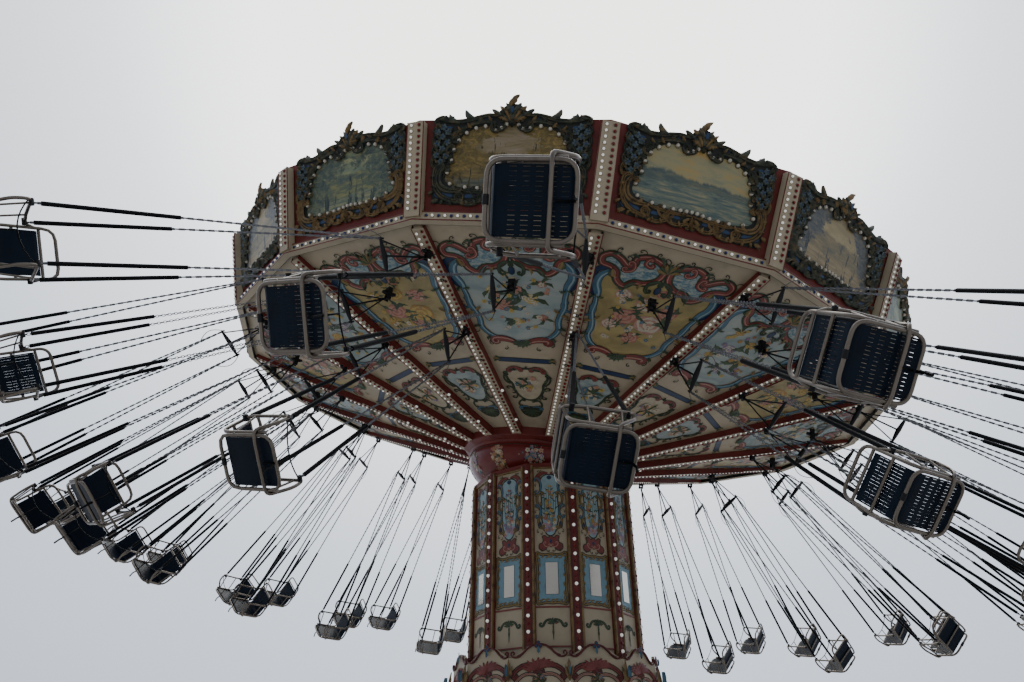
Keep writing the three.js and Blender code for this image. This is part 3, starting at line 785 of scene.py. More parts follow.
def patch(shape, outline, n, slot, centre=None):
    """A flat painted field inside an outline, with picture coordinates from 0 to 1."""
    outline = np.asarray(outline, float)
    low, high = outline.min(0), outline.max(0)
    uvs = (np.vstack([outline, outline.mean(0)]) - low) / (high - low)
    shape.cone(level(outline, n), (*(outline.mean(0) if centre is None else centre), n), slot, uvs=uvs)


def leaf(shape, base, tip, width, slot, n, bend=0.2, lobes=5, height=FLAT):
    rib = bowed(base, tip, bend, lobes)
    side = sides_of(rib)
    along = rib[-1] - rib[0]
    t = np.linspace(0, 1, lobes + 1)
    lobe = np.where(np.arange(lobes + 1) % 2, 1, 0.62)
    half = (width / 2 * np.sin(math.pi * np.clip(t, 0.06, 1) ** 0.75) * lobe)[:, None]
    forward = along / np.linalg.norm(along) * (half * 0.5)
    lift = n + height * np.sin(math.pi * np.clip(t * 0.8 + 0.15, 0, 1))
    low = n + lift * 0.25
    rows = [np.column_stack([rib + side * half + forward, low]), np.column_stack([rib, lift + n]),
            np.column_stack([rib - side * half + forward, low])]
    shape.sheet(np.stack(rows, 1), slot, smooth=height > 0.004)


def both_leaves(shape, base, tip, width, slot, n):
    leaf(shape, base, tip, width, slot, n)
    leaf(shape, mirrored(base), mirrored(tip), width, slot, n, -0.2)


def fan(shape, v, heading, step, across, up, width, n, slots=("leaf_green",), bend=0.1, lobes=5, height=FLAT,
        count=3):
    """Leaves that spread from a point on the middle line."""
    for i in range(-count, count + 1):
        tip = around((0, v), math.radians(heading + i * step), across, up)
        leaf(shape, (0, v), tip, width, slots[i % len(slots)], n, bend, lobes, height)


def flower(shape, centre, radius, slot, n, spin=0, heart="ochre", petals=5, height=FLAT):
    points, faces = [(*centre, n + height)], []
    for i in range(petals):
        for part, size, up in PETAL:
            a = spin + (i + part) * 2 * math.pi / petals
            points.append((*around(centre, a, radius * size, radius * size), n + height * up))
        k = 1 + i * 4
        faces += [(0, k, k + 1), (0, k + 1, k + 2), (0, k + 2, k + 3)]
    shape.add(points, faces, slot)
    shape.cone(level(oval(centre, radius * 0.3, radius * 0.3, 6), n + height * 1.15),
               (*centre, n + height * 1.5), heart)


def bloom(shape, centre, radius, dark, light, n, spin):
    """A large painted rose."""
    for i, (size, slot) in enumerate(((1, dark), (0.82, light), (0.6, dark), (0.42, light), (0.2, dark))):
        a = np.arange(15) / 15 * 2 * math.pi
        ripple = 1 + 0.11 * np.cos(5 * (a + spin + i * 0.7))
        patch(shape, oval(centre, radius * size, radius * size * 0.86, 15, 0, ripple), n + i * 0.0004, slot)


def bouquet(shape, centre, size, rng, n, colours, leaves, flowers):
    for _ in range(leaves):
        a = rng.uniform(0, 2 * math.pi)
        tip = around(centre, a, size * rng.uniform(0.7, 1.1), size * rng.uniform(0.7, 1.1))
        leaf(shape, centre, tip, size * 0.3, "leaf_green", n, rng.uniform(-0.3, 0.3), 4)
    for i in range(flowers):
        a = rng.uniform(0, 2 * math.pi)
        away = size * (rng.uniform(0.2, 0.85) if i else 0.15)
        flower(shape, around(centre, a, away, away), size * rng.uniform(0.17, 0.3), colours[i % len(colours)],
               n + 0.0015 + i * 0.0002, rng.random())


def curl(shape, start, heading, size, way=1, width=0.015):
    """A thin dark curl that springs from an outline, on both halves of a panel."""
    end = around(start, math.radians(heading), size, size)
    both(band, shape, scroll(start, end, 0.25 * way, 0.3, (0, 1), 4, 6, 0.85), width, 0.0105, "ink", 0.4)


def bulb_shape(slot, radius, sides, socket="socket"):
    def ring(size, height):
        return level(np.column_stack(circle(sides)) * size * radius, height * radius)

    shape = Shape()
    shape.sheet([ring(1.4, 0), ring(1.25, 0.28)], socket, closed=True)
    shape.sheet([ring(0.98, 0.25), ring(0.8, 1)], slot, closed=True, smooth=True)
    shape.cone(ring(0.8, 1), (0, 0, 1.42 * radius), slot, smooth=True)
    return shape


WHITE_BULB = bulb_shape("bulb_white", 0.0185, 6)
RED_BULB = bulb_shape("bulb_red", 0.0185, 6)
BLUE_BULB = bulb_shape("bulb_blue", 0.0185, 6)
LAMP = bulb_shape("bulb_white", 0.025, 8)
STRIP_BULBS = (bulb_shape("bulb_red", 0.018, 6), bulb_shape("bulb_white", 0.026, 8))
SCENE_BULB = bulb_shape("bulb_cream", 0.026, 7, "gilt")


# Frames of the canopy's panels

HALF_SECTOR = math.cos(math.radians(SECTOR_ANGLE / 2))
SOFFIT_AT_AXIS = -RIM_RADIUS * SOFFIT_SLOPE
RIB_LOW = SOFFIT_AT_AXIS + RIB_START * SOFFIT_SLOPE - 0.12
RIB_HIGH = SOFFIT_AT_AXIS + RIB_END * SOFFIT_SLOPE - 0.06
RIB_SLOPE = (RIB_HIGH - RIB_LOW) / (RIB_END - RIB_START)
RIB_AT_AXIS = RIB_LOW - RIB_SLOPE * RIB_START


def leaning(angle, radius, height, v):
    """Axes of a face that rises along v: u across, n out of it."""
    n = np.cross(sideways(angle), v)
    return axes(outward(angle) * radius + UP * height, sideways(angle), v, n / np.linalg.norm(n))


def sector_corner(k):
    return CANOPY_PHASE + SECTOR_ANGLE * k


def polygon(radius, height):
    return [outward(sector_corner(k)) * radius + UP * height for k in range(SECTORS)]


# Rim boards: a painted scene in a carved frame, with bulbs round the opening

SCENE_MIDDLE = 0.7
BOARD_FIT = 0.958
EDGE_PITCH = 0.077
EDGE_OUT = 0.0903
POST_OUT = 0.1413
CARVED_BULBS = 34
POST_BULBS = 15
EDGE_LENGTH = 2 * (RIM_RADIUS + 0.09) * math.sin(math.radians(SECTOR_ANGLE / 2))
OPENING = whole([
    (0, 0.325), (0.25, 0.305), (0.48, 0.31), (0.64, 0.335), (0.76, 0.37), (0.8, 0.44), (0.765, 0.53),
    (0.735, 0.63), (0.72, 0.76), (0.68, 0.88), (0.6, 0.98), (0.5, 1.045), (0.38, 1.085), (0.27, 1.082),
    (0.19, 1.035), (0.13, 1.07), (0.07, 1.115), (0, 1.13)], 4)
CARVING = whole([
    (0, 0.13), (0.2, 0.15), (0.42, 0.118), (0.62, 0.105), (0.8, 0.112), (0.925, 0.125), (0.95, 0.22),
    (0.93, 0.36), (0.925, 0.48), (0.955, 0.6), (0.965, 0.74), (0.97, 0.88), (0.965, 1.02), (0.985, 1.12),
    (0.965, 1.19), (0.88, 1.19), (0.8, 1.178), (0.7, 1.174), (0.62, 1.176), (0.52, 1.188), (0.42, 1.214),
    (0.3, 1.24), (0.22, 1.24), (0.17, 1.285), (0.12, 1.335), (0.06, 1.365), (0, 1.37)], 4)


def edge_at(outline, degrees, out):
    """The point of a board's outline in a direction from the middle of its scene, or out from there."""
    away = outline - (0, SCENE_MIDDLE)
    a = math.radians(degrees)
    size = np.interp(a, np.arctan2(away[:, 1], away[:, 0]), np.hypot(*away.T), period=2 * math.pi) + out
    return around((0, SCENE_MIDDLE), a, size, size)


def edge_beside(x, v, out):
    """The point of the opening's edge towards x and v, or out from there."""
    return edge_at(OPENING, math.degrees(math.atan2(v - SCENE_MIDDLE, x)), out)


def board_plate(shape):
    """Dark bed of the carving, from the opening to the crest's outline, with its edges and back."""
    front, back, bed = 0.02, -0.034, 0.004
    inner, outer = ([edge_at(outline, t, out) for t in np.arange(0, 360, 3)]
                    for outline, out in ((OPENING, 0), (CARVING, -0.006)))
    rows = [level(inner, bed), level(inner, front), level(outer, front - 0.008), level(outer, back),
            level(inner, back)]
    shape.sheet(rows, "shade", closed=True, flip=True)


def board_frame():
    """Carved frame of a board, right half, below its top edge."""
    shape = Shape()
    # Fluted scrolls along the foot and round the lower corner
    for path, width, height, base in (
            (curve([(0.58, 0.288), (0.7, 0.278), (0.82, 0.315), (0.872, 0.4), (0.865, 0.5),
                    (0.82, 0.575)], 4), 0.088, 0.05, 0.02),
            (scroll((0.925, 0.54), (0.6, 0.145), 0.27, 0.13, steps=8), 0.062, 0.044, 0.016),
            (scroll((0.62, 0.175), (0.32, 0.165), 0.17, 0.15), 0.052, 0.04, 0.016),
            (scroll((0.33, 0.185), (0.06, 0.185), 0.16, 0.15, (1, -1)), 0.05, 0.04, 0.016),
            (curve([(0, 0.288), (0.24, 0.268), (0.44, 0.272), (0.58, 0.292)], 4), 0.045, 0.036, 0.018),
            (scroll((0.44, 0.262), (0.24, 0.225), 0.3, 0.22), 0.036, 0.034, 0.016)):
        fluted(shape, path, width, height, "gilt", base)
    for u, v, a, b, heading in ((0.46, 0.215, 0.075, 0.022, -4), (0.74, 0.225, 0.075, 0.026, 12),
                                (0.2, 0.232, 0.06, 0.02, 4), (0.905, 0.35, 0.055, 0.02, 80),
                                (0.875, 0.215, 0.04, 0.02, 40)):
        patch(shape, oval((u, v), a, b, heading=heading), 0.0235, "field_blue")
    for u, v, tip_u, tip_v, width in (
            (0.56, 0.18, 0.5, 0.105, 0.06), (0.4, 0.17, 0.34, 0.115, 0.05), (0.84, 0.16, 0.93, 0.095, 0.07),
            (0.92, 0.26, 0.975, 0.2, 0.05), (0.9, 0.46, 0.965, 0.42, 0.05), (0.16, 0.19, 0.11, 0.125, 0.05),
            (0.7, 0.165, 0.66, 0.1, 0.05), (0.27, 0.2, 0.22, 0.14, 0.05), (0.73, 0.27, 0.66, 0.36, 0.06),
            (0.8, 0.5, 0.73, 0.56, 0.05)):
        leaf(shape, (u, v), (tip_u, tip_v), width, "gilt", 0.02, height=0.036)
    leaf(shape, (0, 0.27), (0, 0.12), 0.09, "gilt", 0.022, 0, 6, 0.04)
    leaf(shape, (0.02, 0.25), (0.085, 0.14), 0.06, "gilt", 0.02, 0.25, 6, 0.038)
    # Leafy side with clusters of flowers
    for low, high, bow, slot in ((0.56, 0.7, -0.3, "gilt"), (0.69, 0.83, -0.32, "green"),
                                 (0.82, 0.96, -0.3, "green"), (0.95, 1.08, -0.28, "green")):
        inner, outer = edge_beside(0.73, low, 0.045), edge_beside(0.7, high, 0.05)
        fluted(shape, scroll(inner, outer, bow, 0.2), 0.04, 0.036, slot, 0.018)
        side = scroll((0.962, high - 0.01), (0.958, low + 0.01), 0.16, 0.2)
        fluted(shape, side, 0.038, 0.034, slot, 0.016)
    for u, v, tip_u, tip_v, width, slot in (
            (0.9, 0.6, 0.965, 0.645, 0.045, "green"), (0.9, 0.74, 0.97, 0.78, 0.045, "green"),
            (0.9, 0.9, 0.972, 0.93, 0.045, "green"), (0.88, 1.04, 0.975, 1.085, 0.05, "green"),
            (0.76, 0.62, 0.69, 0.655, 0.045, "green"), (0.74, 0.76, 0.665, 0.79, 0.045, "green"),
            (0.72, 0.88, 0.64, 0.9, 0.045, "green"), (0.5, 0.16, 0.44, 0.115, 0.045, "gilt"),
            (0.78, 0.16, 0.8, 0.105, 0.045, "gilt"), (0.88, 0.3, 0.955, 0.31, 0.045, "gilt"),
            (0.64, 0.25, 0.56, 0.32, 0.045, "gilt"), (0.34, 0.26, 0.3, 0.325, 0.04, "gilt"),
            (0.14, 0.26, 0.12, 0.32, 0.036, "gilt")):
        leaf(shape, (u, v), (tip_u, tip_v), width, slot, 0.02, 0.25, 4, 0.032)
    rng = random.Random(12)
    for spot in ((0.86, 0.63), (0.8, 0.7), (0.92, 0.71), (0.855, 0.79), (0.925, 0.85), (0.8, 0.87),
                 (0.87, 0.94), (0.935, 1), (0.8, 1), (0.86, 1.06)):
        for _ in range(2):
            tip = around(spot, rng.uniform(0, 2 * math.pi), 0.075, 0.075)
            leaf(shape, spot, tip, 0.045, "green", 0.02, rng.uniform(-0.3, 0.3), 4, 0.03)
        flower(shape, spot, 0.044, "flower_blue", 0.036, rng.random(), "field_blue", height=0.02)
    # Volutes over the opening
    volute = [(0.66, 1), (0.6, 1.055), (0.49, 1.108), (0.36, 1.138), (0.25, 1.13), (0.19, 1.095)]
    fluted(shape, curve(volute, 4), 0.05, 0.042, "green", 0.018)
    for start, end, bow in (((0.25, 1.11), (0.17, 1.02), 0.35), ((0.08, 1.15), (0.19, 1.03), -0.3),
                            ((0.74, 0.9), (0.66, 1.02), -0.25)):
        fluted(shape, scroll(start, end, bow, 0.22), 0.036, 0.036, "green", 0.02)
    leaf(shape, (0, 1.16), (0, 1.065), 0.1, "green", 0.022, 0, 6, 0.042)
    return shape


def crest_half():
    """Right half of the cresting, over the board's top edge."""
    shape = Shape()
    outline = curve([(0.16, 1.205), (0.22, 1.215), (0.3, 1.215), (0.41, 1.19), (0.52, 1.16), (0.62, 1.142),
                     (0.72, 1.138), (0.82, 1.142), (0.9, 1.158)])
    fluted(shape, outline, 0.05, 0.042, "green", 0.018)
    fluted(shape, scroll((0.8, 1.145), (0.965, 1.155), 0.22, 0.22, (-1, 1)), 0.044, 0.04, "green", 0.02)
    for u, v, a, heading in ((0.31, 1.17, 0.062, -6), (0.49, 1.118, 0.058, -24), (0.62, 1.055, 0.045, -32),
                             (0.8, 1.06, 0.05, 0)):
        patch(shape, oval((u, v), a, 0.019, heading=heading), 0.0235, "field_blue")
    for width, slot, path in ((0.078, "green", [(0.46, 1.17), (0.53, 1.19), (0.572, 1.222), (0.6, 1.278)]),
                              (0.07, "green", [(0.66, 1.12), (0.73, 1.145), (0.785, 1.175), (0.8, 1.225)]),
                              (0.05, "green", [(0.93, 1.16), (0.87, 1.175), (0.835, 1.21)]),
                              (0.052, "green", [(0.14, 1.22), (0.2, 1.25), (0.265, 1.285)]),
                              (0.066, "green", [(0, 1.14), (0.03, 1.27), (0.095, 1.365)]),
                              (0.062, "gilt", [(0.02, 1.14), (0.08, 1.25), (0.165, 1.325)]),
                              (0.055, "green", [(0.03, 1.13), (0.11, 1.2), (0.205, 1.245)])):
        relief(shape, curve(path), width, 0.04, slot, 0.016, 0.25)
    for u, v, tip_u, tip_v, width, slot in (
            (0.3, 1.2, 0.24, 1.14, 0.05, "gilt"), (0.56, 1.11, 0.5, 1.06, 0.05, "gilt"),
            (0.05, 1.13, 0.18, 1.18, 0.06, "gilt"), (0.36, 1.18, 0.44, 1.12, 0.045, "green"),
            (0.68, 1.07, 0.62, 1.02, 0.04, "gilt")):
        leaf(shape, (u, v), (tip_u, tip_v), width, slot, 0.018, 0.12, 7, 0.044)
    fluted(shape, scroll((0.03, 1.26), (0.14, 1.21), 0.3, 0.22), 0.034, 0.04, "green", 0.03)
    return shape


def whole_board():
    """Bed, cresting and the flame on its top."""
    shape, half = Shape(), crest_half()
    board_plate(shape)
    for mirror in (False, True):
        shape.stamp(half, mirror=mirror)
    flame = curve([(-0.03, 1.31), (-0.04, 1.365), (0, 1.405), (0.015, 1.435), (0.065, 1.47)])
    relief(shape, flame, 0.082, 0.04, "gilt", 0.016, 0.12)
    patch(shape, oval((0, 1.265), 0.02, 0.042, 12), 0.075, "field_blue")
    return shape


def rim():
    frame_half, board = board_frame(), whole_board()
    carved, scenes, crest, lamps, posts, line, rail_shade, post = (Shape() for _ in range(8))
    for low, high, out in ((-0.064, -0.05, 0.006), (0.05, 0.064, 0.008)):
        box(line, (-EDGE_LENGTH / 2, low, 0), (EDGE_LENGTH / 2, high, out), "maroon")
    inner_half = RIM_RADIUS * math.sin(math.radians(SECTOR_ANGLE / 2))
    # A black strip low on the rail's inner face: painted shade under the rim's edge
    box(rail_shade, (-inner_half, -0.0695, -0.006), (inner_half, -0.004, -0.0003), "black_iron")
    half = POST_WIDTH / 2
    box(post, (-half, POST_LOW, -0.1), (half, POST_HIGH, 0), "cream")
    for edge in (-half, half):
        box(post, (edge - 0.004, POST_LOW, -0.006), (edge + 0.004, POST_HIGH, 0.005), "maroon")
    opening = [edge_at(OPENING, t, 0.004) for t in np.arange(0, 360, 5)]
    lean = BOARD_LEAN / BOARD_HEIGHT
    count = int((EDGE_LENGTH - POST_WIDTH) / EDGE_PITCH)
    for k in range(SECTORS):
        middle = sector_corner(k + 0.5)
        rise = outward(middle) * BOARD_LEAN * HALF_SECTOR + UP * BOARD_HEIGHT
        at = leaning(middle, BOARD_FACE_RADIUS * HALF_SECTOR, BOARD_LOW, rise / np.linalg.norm(rise))
        fitted = at @ np.diag([BOARD_FIT, 1, 1, 1])
        scene = Shape()
        patch(scene, opening, 0.008, SCENES[k % 4])
        scenes.stamp(scene, fitted, shift=k)
        for mirror in (False, True):
            carved.stamp(frame_half, fitted, mirror, None if k % 2 else {"gilt": "green"})
        crest.stamp(board, fitted)
        for t in np.arange(CARVED_BULBS) / CARVED_BULBS * 360 + 4:
            u, v = edge_at(OPENING, t, -0.012)
            lamps.stamp(SCENE_BULB, at @ move(u * BOARD_FIT, v, 0.012))
        edge = upright(middle, (RIM_RADIUS + EDGE_OUT) * HALF_SECTOR, -0.005)
        for i in range(count):
            bulb = WHITE_BULB if i % 2 else BLUE_BULB
            lamps.stamp(bulb, edge @ move((i - (count - 1) / 2) * EDGE_PITCH, 0, 0.001))
        carved.stamp(line, edge)
        # Painted shade on the inner face of the rail
        posts.stamp(rail_shade, upright(middle, RIM_RADIUS * HALF_SECTOR))
        rise = outward(sector_corner(k)) * lean + UP
        out = RIM_RADIUS + POST_OUT - BOARD_LOW * lean
        at = leaning(sector_corner(k), out, 0, rise / np.linalg.norm(rise))
        posts.stamp(post, at)
        for v in np.linspace(POST_LOW + 0.095, POST_HIGH - 0.045, POST_BULBS):
            lamps.stamp(WHITE_BULB, at @ move(-0.05, v, 0.001))
            lamps.stamp(RED_BULB, at @ move(0.05, v, 0.001))
    # Lower rail that the pilasters stand on
    inner, outer, low, high = RIM_RADIUS + 0.0003, RIM_RADIUS + EDGE_OUT, -0.07, 0.0597
    rail = ((inner, low), (outer, low), (outer, high), (inner, high), (inner, low))
    posts.sheet([polygon(*corner) for corner in rail], "cream", closed=True)
    place("rim_posts", posts, "canopy", CANOPY, ["rim_pilasters"])
    place("rim_frames", carved, "canopy", CANOPY)
    place("rim_scenes", scenes, "canopy", CANOPY)
    place("rim_crest", crest, "canopy", CANOPY, ["rim_carvings"])
    place("rim_lamps", lamps, "canopy", CANOPY)


# Soffit: painted panels between the ribs, and rows of bulbs on the ribs

RIB_PITCH = 0.078
HUB_INSIDE = 1.262
# Ground, size of the large blooms, number of small flowers and their colours, colour pairs of the blooms
PANEL_KINDS = [
    ("sky_field", 0.62, 40, ("ochre", "violet", "gold", "pale", "rose"), ("ochre", "gold", "violet", "pale")),
    ("tan_field", 0.95, 18, ("gold", "pale", "rose_light"), ("ochre", "gold", "rose", "rose_light")),
    ("sky_field", 0.6, 44, ("rose_light", "pale", "gold", "ribbon"), ("rose", "rose_light", "gold", "pale")),
    ("tan_field", 1, 26, ("ribbon", "pale", "ribbon", "gold"), ("rose_light", "pale", "rose", "rose_light")),
]


def ribs():
    lamps, beams, plate, socket = (Shape() for _ in range(4))
    half = RIB_PLATE / 2
    box(plate, (-half, RIB_START, 0.0003), (half, RIB_END, 0.003), "cream")
    for edge in (-half, half):
        box(plate, (edge - 0.006, RIB_START, -0.001), (edge + 0.006, RIB_END, 0.005), "maroon")
    tube(socket, level(oval((0, 0), 0.02, 0.02, 10), 0.006), 0.007, "black_iron", 5, closed=True)
    for k in range(SECTORS):
        angle = sector_corner(k)
        at = leaning(angle, 0, RIB_AT_AXIS, outward(angle) + UP * RIB_SLOPE)
        beams.stamp(plate, at)
        # Dark red side plates, deeper between the hinges
        for side in (-1, 1):
            near, far = sideways(angle) * side * (half - 0.004), sideways(angle) * side * half
            rows = []
            for v, drop in ((RIB_START, 0), (3.3, 0), (3.36, -0.022), (4.4, -0.022), (4.46, 0), (RIB_END, 0)):
                low = outward(angle) * v + UP * (RIB_AT_AXIS + RIB_SLOPE * v + drop)
                high = outward(angle) * v + UP * ((v - RIM_RADIUS) * SOFFIT_SLOPE - 0.0005)
                rows.append([low + near, high + near, high + far, low + far])
            beams.sheet(rows, "maroon", closed=True)
        for v in np.arange(HUB_SKIRT + 0.06, RIB_END - 0.06, RIB_PITCH):
            lamps.stamp(WHITE_BULB, at @ move(-0.038, v, 0.003))
            lamps.stamp(RED_BULB, at @ move(0.04, v + 0.02, 0.003))
        for v in (3.12, 3.52, 4.1, 4.62):
            beams.stamp(socket, at @ move(0, v, 0))
        for v in (1.75, 2.45):
            lamps.stamp(LAMP, at @ move(0.104, v, -0.01))
    # Red ring over the ribs' inner ends
    ring = [polygon(radius, RIB_AT_AXIS + RIB_SLOPE * radius + drop)
            for radius, drop in ((HUB_SKIRT, 0.118), (HUB_SKIRT, -0.006), (HUB_SKIRT - 0.012, -0.016),
                                 (HUB_INSIDE, -0.03), (HUB_INSIDE, 0))]
    beams.sheet(ring, "maroon", closed=True)
    place("rib_beams", beams, "canopy", CANOPY)
    place("rib_lamps", lamps, "canopy", CANOPY)


def outer_cartouche(shape, kind, rng):
    """Painted field with large and small flowers."""
    ground, blown, count, colours, petals = PANEL_KINDS[kind]
    field = whole([
        (0, 3.38), (0.15, 3.39), (0.32, 3.46), (0.45, 3.62), (0.47, 3.84), (0.54, 3.98), (0.6, 4.12),
        (0.62, 4.3), (0.68, 4.44), (0.74, 4.6), (0.68, 4.74), (0.56, 4.66), (0.43, 4.58), (0.33, 4.66),
        (0.2, 4.7), (0.07, 4.8), (0, 4.84)])
    patch(shape, field, 0.002, ground, (0, 4.2))
    for i, (x, v, size) in enumerate((
            (0.16, 4.02, 0.2), (-0.2, 4.14, 0.17), (-0.02, 4.36, 0.14), (0.3, 4.34, 0.13), (-0.34, 3.9, 0.11),
            (0.02, 3.78, 0.12), (-0.36, 4.46, 0.11), (0.1, 4.6, 0.08))):
        spot = (x if kind % 2 else -x, v + rng.uniform(-0.05, 0.05))
        for _ in range(4):
            tip = around(spot, rng.uniform(0, 2 * math.pi), size * 1.5, size * 1.4)
            leaf(shape, spot, tip, size * 0.55, "leaf_green", 0.0035, rng.uniform(-0.3, 0.3))
        dark, light = petals[2:] if i % 2 else petals[:2]
        bloom(shape, spot, size * blown, dark, light, 0.006, rng.random() * 3)
    for _ in range(count):
        spot = (rng.uniform(-0.44, 0.44), rng.uniform(3.6, 4.62))
        radius, slot = rng.uniform(0.022, 0.044), colours[rng.randrange(len(colours))]
        flower(shape, spot, radius, slot, 0.009, rng.random())


def cartouche_border(shape):
    """Scrolls, ribbons and leaves round the outer cartouche."""
    # Brick-red scrolls round two marbled cells, at the rim side
    cell = curve([
        (0.045, 4.99), (0.14, 5.08), (0.31, 5.12), (0.44, 5.06), (0.43, 4.97), (0.51, 4.93), (0.61, 5),
        (0.74, 5.05), (0.84, 4.98), (0.81, 4.88), (0.7, 4.86), (0.6, 4.8), (0.55, 4.68), (0.43, 4.61),
        (0.34, 4.7), (0.2, 4.72), (0.07, 4.82)], closed=True)
    for outline, shift in ((cell, 0.012), (mirrored(cell), -0.012)):
        patch(shape, outline, 0.0045, "marble")
        ring_band(shape, outline, 0.112, 0.0055, "leaf_green")
        ring_band(shape, outline, 0.086, 0.0065, "ink")
        ring_band(shape, outline, 0.064, 0.0075, "brick")
        ring_band(shape, outline, 0.012, 0.0088, "rose_light", shift)
    for start, end, bulge in (((0.44, 4.99), (0.5, 4.84), -0.35), ((0.3, 5.1), (0.24, 4.98), 0.35)):
        painted(shape, scroll(start, end, bulge, 0.25, steps=6), 0.044, "brick", 0.0095, "rose_light")
    # Blue ribbons down the sides
    for width, slot, n, light, ends, path in (
            (0.085, "deep_blue", 0.005, None, 0.5,
             [(0.66, 4.88), (0.83, 4.76), (0.845, 4.58), (0.76, 4.43), (0.69, 4.34)]),
            (0.105, "ribbon", 0.0065, "sky_blue", 0.4,
             [(0.64, 4.82), (0.745, 4.7), (0.755, 4.55), (0.69, 4.42), (0.655, 4.3)]),
            (0.075, "ribbon", 0.0085, "sky_blue", 0.6,
             [(0.69, 4.38), (0.645, 4.22), (0.63, 4.06), (0.57, 3.92), (0.53, 3.78), (0.525, 3.64),
              (0.43, 3.5), (0.28, 3.42)])):
        painted(shape, curve(path), width, slot, n, light, ends)
    painted(shape, scroll((0.62, 4.16), (0.7, 3.98), -0.3, 0.2, curls=5), 0.03, "ribbon", 0.0095)
    # Red and green moulding at the hub side
    moulding = scroll((0.36, 3.42), (0.04, 3.32), -0.12, 0.14, (1, 0), 6)
    painted(shape, moulding, 0.105, "brick", 0.01, "rose_light", 0.5)
    fan(shape, 3.38, -90, 30, 0.14, 0.13, 0.065, 0.0125)
    flower(shape, (0, 3.385), 0.03, "deep_blue", 0.0145)
    # Leaves over the joints of the scrollwork
    fan(shape, 4.96, 90, 26, 0.17, 0.17, 0.06, 0.0125, ("leaf_green", "gilt_paint"))
    painted(shape, scroll((0.02, 4.8), (0.15, 4.62), 0.3, 0.2, curls=5), 0.034, "leaf_green", 0.011)
    patch(shape, oval((0, 4.66), 0.045, 0.07, 14), 0.011, "ink")
    patch(shape, oval((0, 4.66), 0.034, 0.057, 14), 0.012, "deep_blue")
    for u, v, tip_u, tip_v, width, slot in (
            (0.66, 4.84, 0.56, 4.72, 0.07, "gilt_paint"), (0.66, 4.84, 0.62, 4.7, 0.06, "leaf_green"),
            (0.68, 4.36, 0.75, 4.28, 0.05, "leaf_green"), (0.67, 4.34, 0.58, 4.36, 0.05, "leaf_green"),
            (0.58, 3.92, 0.67, 3.86, 0.06, "gilt_paint"), (0.53, 3.66, 0.63, 3.62, 0.06, "leaf_green"),
            (0.56, 3.96, 0.5, 4.04, 0.055, "gilt_paint"), (0.42, 3.48, 0.46, 3.38, 0.05, "leaf_green"),
            (0.3, 4.72, 0.4, 4.54, 0.055, "leaf_green"), (0.22, 4.72, 0.24, 4.6, 0.045, "gilt_paint"),
            (0.84, 4.66, 0.9, 4.58, 0.045, "leaf_green"), (0.1, 5.06, 0.22, 5.17, 0.05, "leaf_green"),
            (0.42, 5.08, 0.54, 5.1, 0.05, "leaf_green"), (0.76, 5.06, 0.66, 5.12, 0.045, "leaf_green")):
        both_leaves(shape, (u, v), (tip_u, tip_v), width, slot, 0.0135)
    for u, v, heading, size, way in (
            (0.05, 5.07, 75, 0.1, 1), (0.19, 5.13, 60, 0.08, -1), (0.36, 5.15, 40, 0.09, 1),
            (0.5, 5, 70, 0.08, 1), (0.7, 5.09, 100, 0.07, -1), (0.85, 5.02, 40, 0.1, 1),
            (0.86, 4.9, -20, 0.09, -1), (0.88, 4.7, 20, 0.06, 1), (0.86, 4.52, -60, 0.09, -1),
            (0.72, 4.28, -20, 0.08, 1), (0.7, 4.1, 10, 0.07, -1), (0.61, 3.84, -20, 0.08, 1),
            (0.56, 3.6, -50, 0.09, -1), (0.4, 3.4, -60, 0.1, 1), (0.22, 3.28, -90, 0.07, -1)):
        curl(shape, (u, v), heading, size, way)


def cross_bar(shape):
    middle, bar = 2.98, 0.37
    for half, end, n, slot in ((0.05, bar, 0.003, "ink"), (0.036, bar - 0.012, 0.004, "deep_blue")):
        patch(shape, [(-end, middle - half), (end, middle - half), (end + 0.05, middle), (end, middle + half),
                      (-end, middle + half), (-end - 0.05, middle)], n, slot)
    for heading, slot in ((-34, "leaf_green"), (0, "gilt_paint"), (34, "leaf_green")):
        tip = around((bar, middle), math.radians(heading), 0.09, 0.1)
        both_leaves(shape, (bar - 0.02, middle), tip, 0.05, slot, 0.006)


